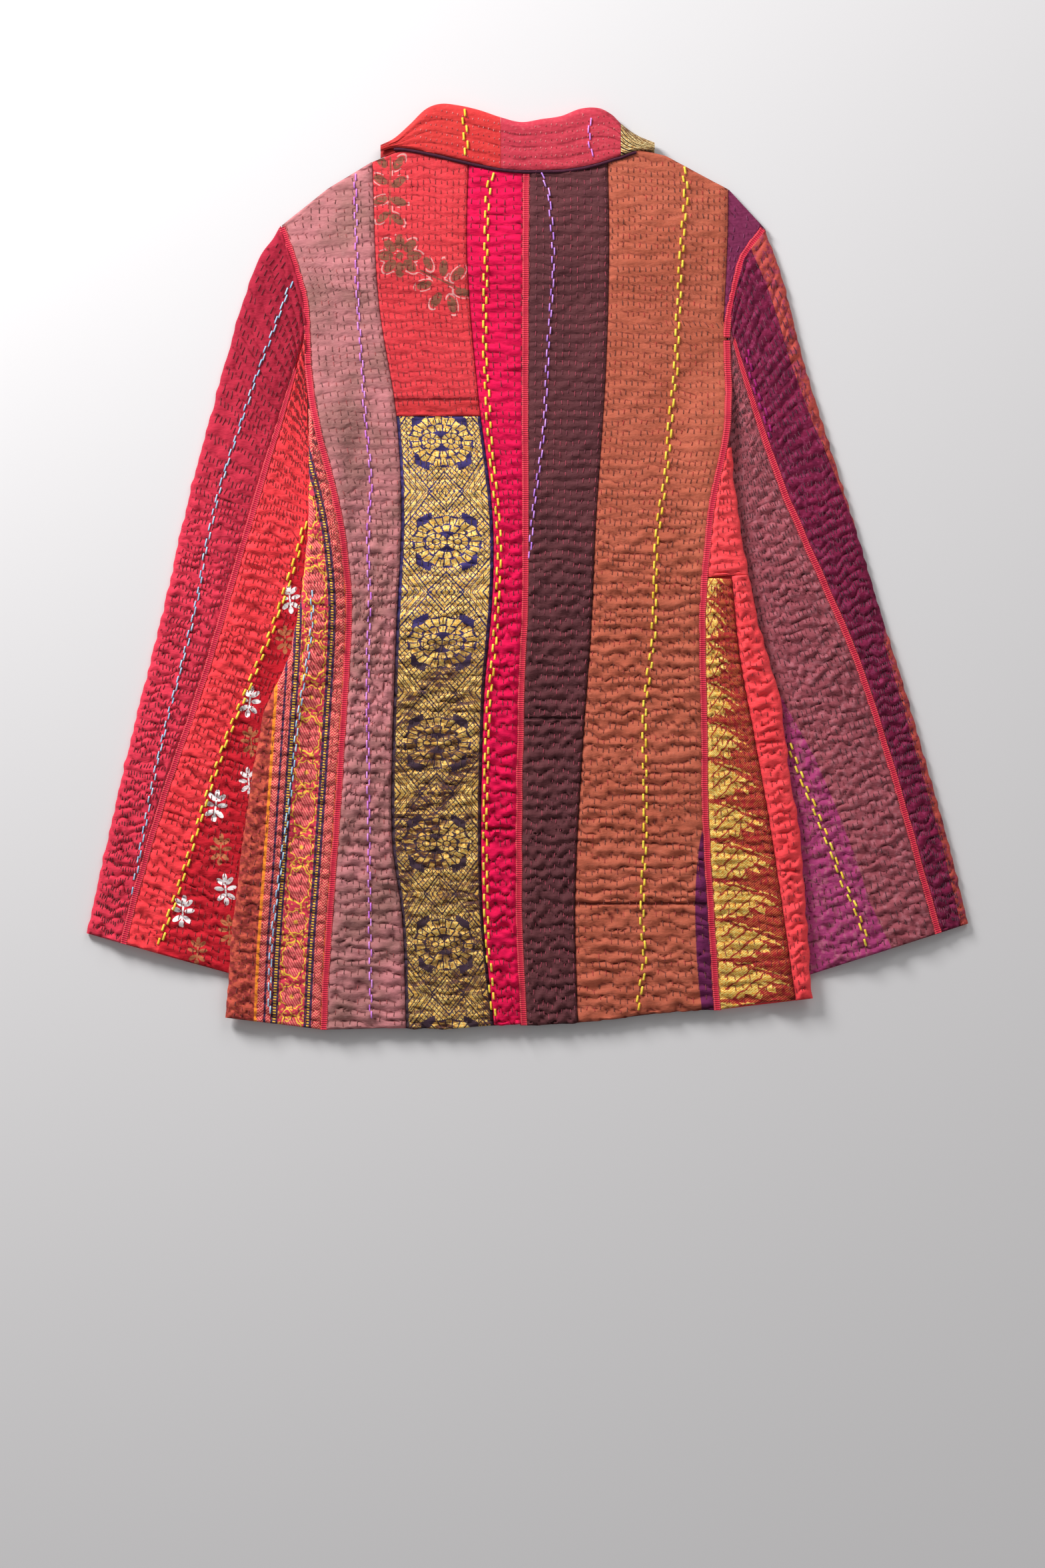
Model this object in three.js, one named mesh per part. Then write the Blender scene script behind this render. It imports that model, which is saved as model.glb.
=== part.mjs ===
// A quilted patchwork jacket laid flat with its back up, in millimetres.
// X runs to the right across the back, Y runs up to the collar, Z stands off the surface.
// Every piece is a wall of quilted cloth. Its points run in tracks from the top edge to the hem,
// first across the outer face and then back across the inner face.
import * as THREE from 'three';

// Driving sizes
const WALL = 2.2;
const LAYER_GAP = 0.3;
const SEAM_GAP = 0.36;
const TAPE_REACH = 3;
const TAPE_WALL = 1;
const FOLD_RADIUS = WALL + LAYER_GAP / 2;
const FOLD_NEAR = 3;
const FOLD_NEAR_SHARE = 0.4;
const FOLD_CLEARANCE = 0.35;
const RIPPLE_STEP = 6;
const PLAIN_STEP = 30;
const UPPER_RIPPLE = 0.55;
const LOWER_RIPPLE = 1.25;
const SLEEVE_RIPPLE = 0.95;
const WAIST_Y = 120;
const WAIST_FADE = 180;

// Where the flat jacket rises off the surface
const SIDE_LIFT = 6.2;
const SIDE_LIFT_REACH = 20;
const SIDE_LIFT_FADE = 28;
const LIFT_START_Y = 164;
const LIFT_FULL_Y = 112;
const HEM_DROP_Y = -345;
const HEM_DROP = 0.5;
const HEM_DROP_REACH = 40;
const NECK_LIFT = 2.6;
const NECK_LIFT_Y = 215;
const NECK_LIFT_FADE = 35;
const NECK_LIFT_HALF = 160;
const NECK_MIDDLE_X = -8;
const BODY_CROWN = 2.4;
const BODY_CROWN_REACH = 70;
const SLEEVE_CROWN = 2.8;
const SLEEVE_CROWN_REACH = 40;
const SLEEVE_CROWN_RISE = 0.12;
const SLEEVE_TUCK = 18;
const QUIET_EDGE = 16;
const QUIET_GORE = { from: 14, fade: 20 };

// Upper edge of the back from the left shoulder tip over the neck to the right one
const TOP_EDGE = [
  { x: -203, y: 282 },
  { x: -165, y: 312.5 },
  { x: -128, y: 334 },
  { x: -88, y: 350 },
  { x: -48.4, y: 337 },
  { x: -25, y: 335.6 },
  { x: -0.8, y: 335 },
  { x: 33, y: 339 },
  { x: 66, y: 351 },
  { x: 114, y: 339 },
  { x: 166, y: 312 },
  { x: 196, y: 280 },
];

// Armholes from the shoulder tip to the underarm, straight between rows
const LEFT_ARMHOLE = [
  { x: -203, y: 282 },
  { x: -191.5, y: 248 },
  { x: -184, y: 222 },
  { x: -182, y: 198 },
  { x: -181, y: 166 },
];
const RIGHT_ARMHOLE = [
  { x: 196, y: 280 },
  { x: 178.5, y: 256 },
  { x: 171, y: 228 },
  { x: 166, y: 203.5 },
  { x: 165, y: 188 },
];

// Side seams of the back below the underarm, which the gores meet
const LEFT_SEAM = [
  { x: -181, y: 166 },
  { x: -177, y: 136 },
  { x: -172, y: 110 },
  { x: -166, y: 88 },
  { x: -154, y: 36 },
  { x: -148, y: -14 },
  { x: -147.4, y: -50 },
  { x: -152, y: -131 },
  { x: -160, y: -250 },
  { x: -165, y: -318 },
  { x: -168, y: -382 },
];
const RIGHT_SEAM = [
  { x: 165, y: 188 },
  { x: 166, y: 134 },
  { x: 163, y: 101 },
  { x: 153.5, y: 57 },
  { x: 147, y: -2 },
  { x: 144.6, y: -49 },
  { x: 146.2, y: -137 },
  { x: 147, y: -204 },
  { x: 152, y: -291 },
  { x: 156.8, y: -366 },
];
const GORE_TOP = { left: 130, right: 98 };

// Folded side edges of the body
const LEFT_FOLD = [
  { x: -181, y: 166 },
  { x: -180.4, y: 115 },
  { x: -180, y: 66 },
  { x: -181, y: 26 },
  { x: -187.6, y: -32 },
  { x: -196, y: -73 },
  { x: -217, y: -119 },
  { x: -226, y: -165 },
  { x: -235, y: -229 },
  { x: -243.6, y: -300 },
  { x: -249, y: -372 },
];
const RIGHT_FOLD = [
  { x: 165, y: 188 },
  { x: 166, y: 127 },
  { x: 171, y: 66 },
  { x: 178, y: 17 },
  { x: 191.4, y: -50 },
  { x: 209, y: -108 },
  { x: 217, y: -175 },
  { x: 225, y: -217 },
  { x: 231.6, y: -302 },
  { x: 235, y: -356 },
];

// Seams between the strips of the back
const MAUVE_SEAM = [
  { x: -128, y: 334 },
  { x: -122.7, y: 219 },
  { x: -108, y: 124 },
  { x: -104, y: 40 },
  { x: -108.7, y: -68 },
  { x: -111.7, y: -221 },
  { x: -103, y: -291 },
  { x: -100, y: -381 },
];
const CRIMSON_SEAM = [
  { x: -48.4, y: 337 },
  { x: -49.7, y: 256 },
  { x: -41, y: 146 },
  { x: -29, y: 46 },
  { x: -28.6, y: -20 },
  { x: -36, y: -115 },
  { x: -37.4, y: -273 },
  { x: -27.5, y: -378.4 },
];
const CENTRE_SEAM = [
  { x: -0.8, y: 335 },
  { x: -1.7, y: 160 },
  { x: -1.9, y: -30 },
  { x: -5.2, y: -115 },
  { x: -6.6, y: -291 },
  { x: -2.5, y: -378.4 },
];
const RUST_SEAM = [
  { x: 66, y: 351 },
  { x: 67.5, y: 268 },
  { x: 65, y: 164 },
  { x: 56.7, y: 36 },
  { x: 52.8, y: -49 },
  { x: 45.7, y: -150 },
  { x: 39.6, y: -273 },
  { x: 41.6, y: -377 },
];
const PURPLE_SEAM = [
  { x: 166, y: 312 },
  { x: 165.6, y: 276 },
  { x: 163, y: 217 },
  { x: 161.5, y: 196 },
];
const PURPLE_END_Y = 204;
const BROCADE_TOP_Y = 124;
const HEM_Y = { mauve: -381, gold: -381.5, crimson: -378.6, plum: -378, rust: -369.5 };

// Gold leaf patch beside the right side seam
const LEAF_EDGE = [
  { x: 168.5, y: -10 },
  { x: 175, y: -74 },
  { x: 186.5, y: -137.5 },
  { x: 201, y: -220 },
  { x: 221, y: -356 },
];
const LEAF_TOP_Y = -9;
const LEAF_MIDDLE = 0.6;
const GORE_MIDDLE = 0.3;
const FRONT_SIDE_TRACK = 34;

// Rows where the cloth rises over a sleeve, as heights on a side seam and as shares of the way down
const RISE_Y = [150, 140, 130, 119, 108, 98, 86];
const RISE_SHARES = [0.06, 0.11, 0.225, 0.245, 0.265, 0.285, 0.305, 0.325, 0.345];
const CLOSEST_ROWS = 0.012;
const NEAREST_ROW = 0.0012;
const MIDDLE_FADE = 200;

// Sleeve folds, under-arm edges and the seam along the top of each sleeve
const LEFT_SLEEVE = {
  side: -1,
  armhole: LEFT_ARMHOLE,
  outer: [
    { x: -203, y: 282 },
    { x: -221.7, y: 254 },
    { x: -237, y: 212 },
    { x: -257, y: 142 },
    { x: -281, y: 52 },
    { x: -300, y: -32 },
    { x: -328, y: -144 },
    { x: -349, y: -235 },
    { x: -364, y: -302.5 },
  ],
  inner: [
    { x: -181.6, y: 166 },
    { x: -181.2, y: 118 },
    { x: -176, y: 82 },
    { x: -172, y: 26 },
    { x: -176, y: -32 },
    { x: -186, y: -73 },
    { x: -204, y: -119 },
    { x: -212, y: -165 },
    { x: -221, y: -229 },
    { x: -230, y: -300 },
    { x: -234, y: -339 },
  ],
  seam: [
    { x: -182, y: 198 },
    { x: -195, y: 150 },
    { x: -217, y: 78 },
    { x: -242, y: -8 },
    { x: -267, y: -93 },
    { x: -298, y: -184.5 },
    { x: -322, y: -266 },
    { x: -333, y: -310 },
  ],
};
const RIGHT_SLEEVE = {
  side: 1,
  armhole: RIGHT_ARMHOLE,
  outer: [
    { x: 196, y: 280 },
    { x: 210.7, y: 238 },
    { x: 230, y: 164 },
    { x: 252.7, y: 92 },
    { x: 272, y: 29 },
    { x: 296.5, y: -51 },
    { x: 319, y: -125 },
    { x: 350, y: -235 },
    { x: 364, y: -294.5 },
  ],
  inner: [
    { x: 165.6, y: 188 },
    { x: 166.4, y: 118 },
    { x: 165, y: 82 },
    { x: 168, y: 26 },
    { x: 180, y: -50 },
    { x: 196, y: -108 },
    { x: 205, y: -175 },
    { x: 213, y: -217 },
    { x: 223, y: -302 },
    { x: 228, y: -338.5 },
  ],
  seam: [
    { x: 166, y: 203.5 },
    { x: 183.4, y: 145 },
    { x: 212, y: 62 },
    { x: 240, y: -3 },
    { x: 271, y: -75 },
    { x: 295, y: -147 },
    { x: 319, y: -230 },
    { x: 340, y: -304.5 },
  ],
};
const SLEEVE_TAPE_START = { left: 0.065, right: 0.04 };
const SLEEVE_FAN = 0.3;
const BOW_FADE = 0.15;
const INNER_TRACKS = { middle: 0.55, nearFold: 0.4 };

// Collar sections from the left tip to the right tip: roll line and free edge
const COLLAR_SECTIONS = [
  { x: -121, roll: 348, fall: 342.5 },
  { x: -110, roll: 353.5, fall: 345.5 },
  { x: -97, roll: 365, fall: 344.5 },
  { x: -84, roll: 377.5, fall: 342 },
  { x: -72, roll: 382, fall: 339.5 },
  { x: -58, roll: 381, fall: 336 },
  { x: -40, roll: 377, fall: 332 },
  { x: -22, roll: 371, fall: 328.5 },
  { x: -5, roll: 367, fall: 327 },
  { x: 12, roll: 369.5, fall: 327 },
  { x: 28, roll: 372, fall: 327.5 },
  { x: 44, roll: 378, fall: 329.5 },
  { x: 59, roll: 378.5, fall: 333 },
  { x: 70, roll: 373, fall: 336.5 },
  { x: 77, roll: 366, fall: 338.5 },
  { x: 90, roll: 356.5, fall: 343 },
  { x: 105, roll: 350, fall: 343.5 },
];
const COLLAR_CLOTHS = [
  { name: 'collar_red', from: -121, to: -22, colour: 0xe23e3e },
  { name: 'collar_rose', from: -22, to: 77, colour: 0xd64054 },
  { name: 'collar_gold', from: 77, to: 105, colour: 0xa98442 },
];
const ROLL_HEIGHT = 8.2;
const ROLL_BASE = 1.7;
const ROLL_SHARE = 0.42;
const FALL_TRACKS = [0, 0.35, 0.7, 1];
const ROLL_TURNS = [45, 90, 135];
const STAND_TRACKS = [1, 0.66, 0.33, 0];
const COLLAR_COVER = 0.028;
const PIPING_RADIUS = 1.3;
const PIPING_SIDES = 8;

// Hidden ends of the collar below the fronts: its neck edge and its free edge
const COLLAR_END_SECTIONS = [
  { neckX: 84, neckY: 347, freeX: 90, freeY: 342 },
  { neckX: 72, neckY: 330, freeX: 88, freeY: 306 },
  { neckX: 54, neckY: 312, freeX: 76, freeY: 280 },
  { neckX: 30, neckY: 298, freeX: 48, freeY: 262 },
  { neckX: 8, neckY: 290, freeX: 12, freeY: 254 },
];
const FRONT_NECK = [
  { share: 0, y: 350 },
  { share: 0.5, y: 314 },
  { share: 1, y: 294 },
];
const FRONT_GAP = 1.5;

const CLOTH_COLOURS = {
  back_mauve: 0xb26e70,
  back_floral: 0xde3e46,
  back_brocade: 0xc39a44,
  back_crimson: 0xd61450,
  back_plum: 0x58343e,
  back_rust: 0xb85a3c,
  back_purple: 0x6e2855,
  side_left: 0xb9453f,
  side_right_upper: 0xe23237,
  side_right: 0xe23237,
  leaf_patch: 0xa53a32,
  front_left: 0x7a2f38,
  front_right: 0x7a2f38,
  sleeve_left_outer: 0xb0263a,
  sleeve_left_inner: 0xcd282d,
  sleeve_right_outer: 0xaa4641,
  sleeve_right_inner: 0x733741,
  tape: 0xd63e3a,
  piping: 0x461c30,
};

// Small sums
const lerp = THREE.MathUtils.lerp;
const clamp = THREE.MathUtils.clamp;

function smooth(share) {
  return THREE.MathUtils.smoothstep(share, 0, 1);
}

// A line of rows read straight between them, by the named key
function straightAt(rows, key, value, at) {
  const rising = rows[rows.length - 1][key] > rows[0][key];
  let i = 0;
  while (i < rows.length - 2 && (rising ? at > rows[i + 1][key] : at < rows[i + 1][key])) {
    i += 1;
  }
  const start = rows[i];
  const end = rows[i + 1];
  return lerp(start[value], end[value], clamp((at - start[key]) / (end[key] - start[key]), 0, 1));
}

// A line of rows read as a smooth curve, by the named key
function curveAt(rows, key, value, at) {
  const rising = rows[rows.length - 1][key] > rows[0][key];
  let i = 0;
  while (i < rows.length - 2 && (rising ? at > rows[i + 1][key] : at < rows[i + 1][key])) {
    i += 1;
  }
  const start = rows[i];
  const end = rows[i + 1];
  const before = rows[Math.max(i - 1, 0)];
  const after = rows[Math.min(i + 2, rows.length - 1)];
  const span = end[key] - start[key];
  const t = clamp((at - start[key]) / span, 0, 1);
  const slopeIn = ((end[value] - before[value]) / (end[key] - before[key])) * span;
  const slopeOut = ((after[value] - start[value]) / (after[key] - start[key])) * span;
  const t2 = t * t;
  const t3 = t2 * t;
  const fromStart = (2 * t3 - 3 * t2 + 1) * start[value] + (t3 - 2 * t2 + t) * slopeIn;
  const fromEnd = (3 * t2 - 2 * t3) * end[value] + (t3 - t2) * slopeOut;
  return fromStart + fromEnd;
}

// Body lines. Each one runs from the top edge to the hem.
function bodyLine(topY, hemY, xAtY) {
  const at = (v) => {
    const y = lerp(topY, hemY, v);
    return { x: xAtY(y), y };
  };
  const shareAt = (y) => (topY - y) / (topY - hemY);
  return { at, shareAt, topY, hemY };
}

function seamLine(rows, hemY) {
  return bodyLine(rows[0].y, hemY, (y) => curveAt(rows, 'y', 'x', y));
}

function edgeLine(armhole, seam, hemY) {
  const underarm = seam[0].y;
  const xAtY = (y) => (y > underarm ? straightAt(armhole, 'y', 'x', y) : curveAt(seam, 'y', 'x', y));
  return { ...bodyLine(armhole[0].y, hemY, xAtY), underarm };
}

// A line midway between two others, with its own top
function midLine(first, second, topPoint, hemY) {
  const xAtY = (y) => {
    const top = (first.at(0).x + second.at(0).x) / 2;
    const middle = (first.at(first.shareAt(y)).x + second.at(second.shareAt(y)).x) / 2;
    return middle + (topPoint.x - top) * smooth((y - topPoint.y + MIDDLE_FADE) / MIDDLE_FADE);
  };
  return bodyLine(topPoint.y, hemY, xAtY);
}

const leftEdge = edgeLine(LEFT_ARMHOLE, LEFT_SEAM, LEFT_SEAM[LEFT_SEAM.length - 1].y);
const rightEdge = edgeLine(RIGHT_ARMHOLE, RIGHT_SEAM, RIGHT_SEAM[RIGHT_SEAM.length - 1].y);
const mauveLine = seamLine(MAUVE_SEAM, HEM_Y.mauve);
const crimsonLine = seamLine(CRIMSON_SEAM, HEM_Y.crimson);
const centreLine = seamLine(CENTRE_SEAM, HEM_Y.crimson);
const rustLine = seamLine(RUST_SEAM, HEM_Y.plum);
const mauveMiddle = midLine(leftEdge, mauveLine, TOP_EDGE[1], HEM_Y.gold);
const neckLine = midLine(mauveLine, crimsonLine, TOP_EDGE[3], HEM_Y.gold);
const crimsonMiddle = midLine(crimsonLine, centreLine, TOP_EDGE[5], HEM_Y.crimson);
const plumMiddle = midLine(centreLine, rustLine, TOP_EDGE[7], HEM_Y.plum);
const rustMiddle = midLine(rustLine, rightEdge, TOP_EDGE[9], HEM_Y.rust);

// How far a point of the body lies inside its side edges
function insetFromSides(x, y) {
  const leftRows = y > LEFT_FOLD[0].y ? LEFT_ARMHOLE : LEFT_FOLD;
  const rightRows = y > RIGHT_FOLD[0].y ? RIGHT_ARMHOLE : RIGHT_FOLD;
  const left = straightAt(leftRows, 'y', 'x', y);
  const right = straightAt(rightRows, 'y', 'x', y);
  return Math.max(Math.min(x - left, right - x), 0);
}

// Height of the body's lowest layer: up over the sleeves at the sides and over the collar ends
function groundAt(x, y) {
  const inset = insetFromSides(x, y);
  const nearSide = 1 - smooth((inset - SIDE_LIFT_REACH) / SIDE_LIFT_FADE);
  const belowArm = smooth((LIFT_START_Y - y) / (LIFT_START_Y - LIFT_FULL_Y));
  const atHem = 1 - HEM_DROP * smooth((HEM_DROP_Y - y) / HEM_DROP_REACH);
  const neckUp = smooth((y - NECK_LIFT_Y) / NECK_LIFT_FADE);
  const neckAcross = smooth((NECK_LIFT_HALF - Math.abs(x - NECK_MIDDLE_X)) / NECK_LIFT_FADE);
  return SIDE_LIFT * nearSide * belowArm * atHem + NECK_LIFT * neckUp * neckAcross;
}

// Soft hollow between the fronts and the back
function crownAt(x, y) {
  const sides = smooth(insetFromSides(x, y) / BODY_CROWN_REACH);
  const top = smooth((straightAt(TOP_EDGE, 'x', 'y', x) - y) / BODY_CROWN_REACH);
  return BODY_CROWN * sides * top;
}

// Raised quilting: every second row stands up, unevenly
function rippleAt(row, height) {
  const uneven = 0.82 + 0.3 * Math.sin(row * 1.7) * Math.cos(row * 0.61);
  return row % 2 === 1 ? height * uneven : 0;
}

function bodyRipple(row, x, y) {
  const strength = lerp(UPPER_RIPPLE, LOWER_RIPPLE, smooth((WAIST_Y - y) / WAIST_FADE));
  const belowTop = smooth((straightAt(TOP_EDGE, 'x', 'y', x) - QUIET_EDGE - y) / QUIET_EDGE);
  const inside = smooth((insetFromSides(x, y) - 4) / QUIET_EDGE);
  return rippleAt(row, strength * belowTop * inside);
}

// Rows are shares of the way down, fine where the quilting is raised and plain elsewhere
function evenRows(length, step) {
  const count = Math.round(length / step);
  return Array.from({ length: count + 1 }, (unused, i) => i / count);
}

function within(rows, from, to) {
  const inner = rows.filter((v) => v > from + NEAREST_ROW && v < to - NEAREST_ROW);
  return [from, ...inner, to];
}

const bodyLength = mauveLine.topY - mauveLine.hemY;
const fineRows = evenRows(bodyLength, RIPPLE_STEP);
const plainRows = [...evenRows(bodyLength, PLAIN_STEP), ...RISE_SHARES]
  .sort((a, b) => a - b)
  .filter((v, i, all) => i === 0 || v - all[i - 1] > CLOSEST_ROWS);

// Side seams have a row at each armhole corner, and close ones where the cloth rises
function edgeRows(line, armhole) {
  const corners = armhole.map((row) => line.shareAt(row.y));
  const rise = RISE_Y.map((y) => line.shareAt(y));
  const underarm = corners[corners.length - 1];
  const belowArm = rise.filter((v) => v > underarm + CLOSEST_ROWS / 3);
  const lower = plainRows.filter((v) => v > Math.max(...rise) + CLOSEST_ROWS);
  return [...corners, ...belowArm, ...lower];
}

const leftRows = edgeRows(leftEdge, LEFT_ARMHOLE);
const rightRows = edgeRows(rightEdge, RIGHT_ARMHOLE);

// Two neighbouring tracks joined by triangles, whatever rows each one has
function joinTracks(first, second, triangles) {
  let i = 0;
  let j = 0;
  while (i < first.length - 1 || j < second.length - 1) {
    const stepFirst = i < first.length - 1 ? first[i + 1].v : Infinity;
    const stepSecond = j < second.length - 1 ? second[j + 1].v : Infinity;
    if (stepFirst <= stepSecond) {
      triangles.push([first[i].index, first[i + 1].index, second[j].index]);
      i += 1;
    } else {
      triangles.push([first[i].index, second[j + 1].index, second[j].index]);
      j += 1;
    }
  }
}

function signedVolume(points, triangles) {
  const sum = triangles.reduce((total, [a, b, c]) => {
    const cross = new THREE.Vector3().crossVectors(points[b], points[c]);
    return total + points[a].dot(cross);
  }, 0);
  return sum / 6;
}

// A closed wall from matching lists of outer and inner tracks.
// A track is a list of shares down the piece and a function from a share to a point.
function wallGeometry(outer, inner) {
  const points = [];
  const ring = [...outer, ...inner.slice().reverse()].map((track) =>
    track.rows.map((v, row) => {
      points.push(track.point(v, row));
      return { v, index: points.length - 1 };
    }),
  );
  const triangles = [];
  ring.forEach((track, i) => joinTracks(track, ring[(i + 1) % ring.length], triangles));
  const count = outer.length;
  for (let i = 0; i < count - 1; i += 1) {
    const tracks = [ring[i], ring[i + 1], ring[2 * count - 2 - i], ring[2 * count - 1 - i]];
    const top = tracks.map((track) => track[0].index);
    const low = tracks.map((track) => track[track.length - 1].index);
    triangles.push([top[0], top[1], top[2]], [top[0], top[2], top[3]]);
    triangles.push([low[0], low[2], low[1]], [low[0], low[3], low[2]]);
  }
  if (signedVolume(points, triangles) < 0) {
    triangles.forEach((triangle) => triangle.reverse());
  }
  const geometry = new THREE.BufferGeometry();
  geometry.setAttribute('position', new THREE.Float32BufferAttribute(
    points.flatMap((point) => point.toArray()), 3));
  geometry.setIndex(triangles.flat());
  geometry.computeVertexNormals();
  return geometry;
}

const jacket = new THREE.Group();
jacket.name = 'kantha_jacket';

function addPiece(name, geometry, colour) {
  const material = new THREE.MeshStandardMaterial({ color: colour, roughness: 0.85, metalness: 0 });
  const piece = new THREE.Mesh(geometry, material);
  piece.name = name;
  jacket.add(piece);
  return piece;
}

// A place on a body line, moved a distance along the row towards another line
function placeBeside(line, towards, distance) {
  return (v) => {
    const start = line.at(v);
    const end = towards.at(v);
    const span = Math.hypot(end.x - start.x, end.y - start.y);
    return { x: lerp(start.x, end.x, distance / span), y: lerp(start.y, end.y, distance / span) };
  };
}

// A flat strip of the body. Its tracks say where they run and whether quilting rises on them.
function bodyStrip(tracks, layer) {
  const outer = tracks.map((track) => ({
    rows: track.rows,
    point: (v, row) => {
      const { x, y } = track.place(v);
      const rise = track.rippled ? bodyRipple(row + track.firstRow, x, y) : 0;
      return new THREE.Vector3(x, y, layer(x, y) + WALL + rise);
    },
  }));
  const inner = tracks.map((track) => ({
    rows: track.plain,
    point: (v) => {
      const { x, y } = track.place(v);
      return new THREE.Vector3(x, y, layer(x, y));
    },
  }));
  return wallGeometry(outer, inner);
}

function backLayer(x, y) {
  return groundAt(x, y) + WALL + LAYER_GAP + crownAt(x, y);
}

// Fine and plain rows of a strip between two heights on it
function stripRows(from, to) {
  const rows = within(fineRows, from, to);
  return { rows, plain: within(plainRows, from, to), firstRow: fineRows.findIndex((v) => v > from) - 1 };
}

function rippledTrack(place, from, to) {
  return { place, rippled: true, ...stripRows(from, to) };
}

function seamTrack(place, rows, from, to) {
  const seamRows = within(rows, from, to);
  return { place, rippled: false, rows: seamRows, plain: seamRows, firstRow: 0 };
}

const half = SEAM_GAP / 2;
const splitGap = half / bodyLength;
const purpleEnd = rightEdge.shareAt(PURPLE_END_Y);

// The back, strip by strip from left to right
addPiece('back_mauve', bodyStrip([
  seamTrack(placeBeside(leftEdge, mauveMiddle, half), leftRows, 0, 1),
  seamTrack(placeBeside(leftEdge, mauveMiddle, TAPE_REACH + half), leftRows, 0, 1),
  rippledTrack(mauveMiddle.at, 0, 1),
  rippledTrack(placeBeside(mauveLine, mauveMiddle, half), 0, 1),
], backLayer), CLOTH_COLOURS.back_mauve);

// The floral patch ends and the brocade starts along one level seam
function goldStrip(isUpper) {
  const track = (line, place) => {
    const split = line.shareAt(BROCADE_TOP_Y);
    return isUpper ? rippledTrack(place, 0, split - splitGap) : rippledTrack(place, split + splitGap, 1);
  };
  return bodyStrip([
    track(mauveLine, placeBeside(mauveLine, neckLine, half)),
    track(neckLine, neckLine.at),
    track(crimsonLine, placeBeside(crimsonLine, neckLine, half)),
  ], backLayer);
}

addPiece('back_floral', goldStrip(true), CLOTH_COLOURS.back_floral);
addPiece('back_brocade', goldStrip(false), CLOTH_COLOURS.back_brocade);

addPiece('back_crimson', bodyStrip([
  rippledTrack(placeBeside(crimsonLine, crimsonMiddle, half), 0, 1),
  rippledTrack(crimsonMiddle.at, 0, 1),
  seamTrack(placeBeside(centreLine, crimsonMiddle, TAPE_REACH + half), plainRows, 0, 1),
  seamTrack(placeBeside(centreLine, crimsonMiddle, half), plainRows, 0, 1),
], backLayer), CLOTH_COLOURS.back_crimson);

addPiece('back_plum', bodyStrip([
  seamTrack(placeBeside(centreLine, plumMiddle, half), plainRows, 0, 1),
  seamTrack(placeBeside(centreLine, plumMiddle, TAPE_REACH + half), plainRows, 0, 1),
  rippledTrack(plumMiddle.at, 0, 1),
  rippledTrack(placeBeside(rustLine, plumMiddle, half), 0, 1),
], backLayer), CLOTH_COLOURS.back_plum);

// The purple strip lies between the rust strip and the right armhole
const purpleTop = PURPLE_SEAM[0].y;
const purpleHem = purpleTop - (purpleTop - PURPLE_END_Y) / purpleEnd;
const purpleLine = bodyLine(purpleTop, purpleHem, (y) => curveAt(PURPLE_SEAM, 'y', 'x', y));
const rustEdge = {
  at: (v) => {
    const blend = smooth((v - purpleEnd) / CLOSEST_ROWS);
    const upper = purpleLine.at(v);
    const lower = rightEdge.at(v);
    return { x: lerp(upper.x, lower.x, blend), y: lerp(upper.y, lower.y, blend) };
  },
};
const purpleQuarters = [0, 0.25, 0.5, 0.75, 1].map((share) => share * purpleEnd);
const rustEdgeRows = [
  ...purpleQuarters, purpleEnd + CLOSEST_ROWS,
  ...rightRows.filter((v) => v > purpleEnd + CLOSEST_ROWS * 4 / 3),
];

addPiece('back_rust', bodyStrip([
  rippledTrack(placeBeside(rustLine, rustMiddle, half), 0, 1),
  rippledTrack(rustMiddle.at, 0, 1),
  seamTrack(placeBeside(rustEdge, rustMiddle, TAPE_REACH + half), rustEdgeRows, 0, 1),
  seamTrack(placeBeside(rustEdge, rustMiddle, half), rustEdgeRows, 0, 1),
], backLayer), CLOTH_COLOURS.back_rust);

const purpleRows = rustEdgeRows.filter((v) => v <= purpleEnd);
const purpleStop = purpleEnd - splitGap;
const purpleArmRows = rightRows.filter((v) => v < purpleEnd);
addPiece('back_purple', bodyStrip([
  seamTrack(placeBeside(purpleLine, rightEdge, half), purpleRows, 0, purpleStop),
  seamTrack(placeBeside(rightEdge, purpleLine, half), purpleArmRows, 0, purpleStop),
], backLayer), CLOTH_COLOURS.back_purple);

// The fronts lie on the surface below the back
function frontNeckLine(first, second, share, hemY) {
  const top = straightAt(FRONT_NECK, 'share', 'y', share);
  return bodyLine(top, hemY, (y) => {
    const from = first.at(first.shareAt(y)).x;
    const to = second.at(second.shareAt(y)).x;
    return lerp(from, to, share);
  });
}

const leftNeckColumn = bodyLine(TOP_EDGE[3].y, HEM_Y.gold, (y) => neckLine.at(neckLine.shareAt(y)).x);
const rightNeckColumn = bodyLine(TOP_EDGE[8].y, HEM_Y.plum, (y) => rustLine.at(rustLine.shareAt(y)).x);

addPiece('front_left', bodyStrip([
  seamTrack(placeBeside(leftEdge, mauveMiddle, half), leftRows, 0, 1),
  seamTrack(placeBeside(leftEdge, mauveMiddle, TAPE_REACH + half), leftRows, 0, 1),
  seamTrack(mauveMiddle.at, plainRows, 0, 1),
  seamTrack(mauveLine.at, plainRows, 0, 1),
  seamTrack(leftNeckColumn.at, plainRows, 0, 1),
  seamTrack(frontNeckLine(leftNeckColumn, centreLine, 0.5, HEM_Y.gold).at, plainRows, 0, 1),
  seamTrack((v) => {
    const point = frontNeckLine(leftNeckColumn, centreLine, 1, HEM_Y.crimson).at(v);
    return { x: point.x - FRONT_GAP, y: point.y };
  }, plainRows, 0, 1),
], groundAt), CLOTH_COLOURS.front_left);

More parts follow.
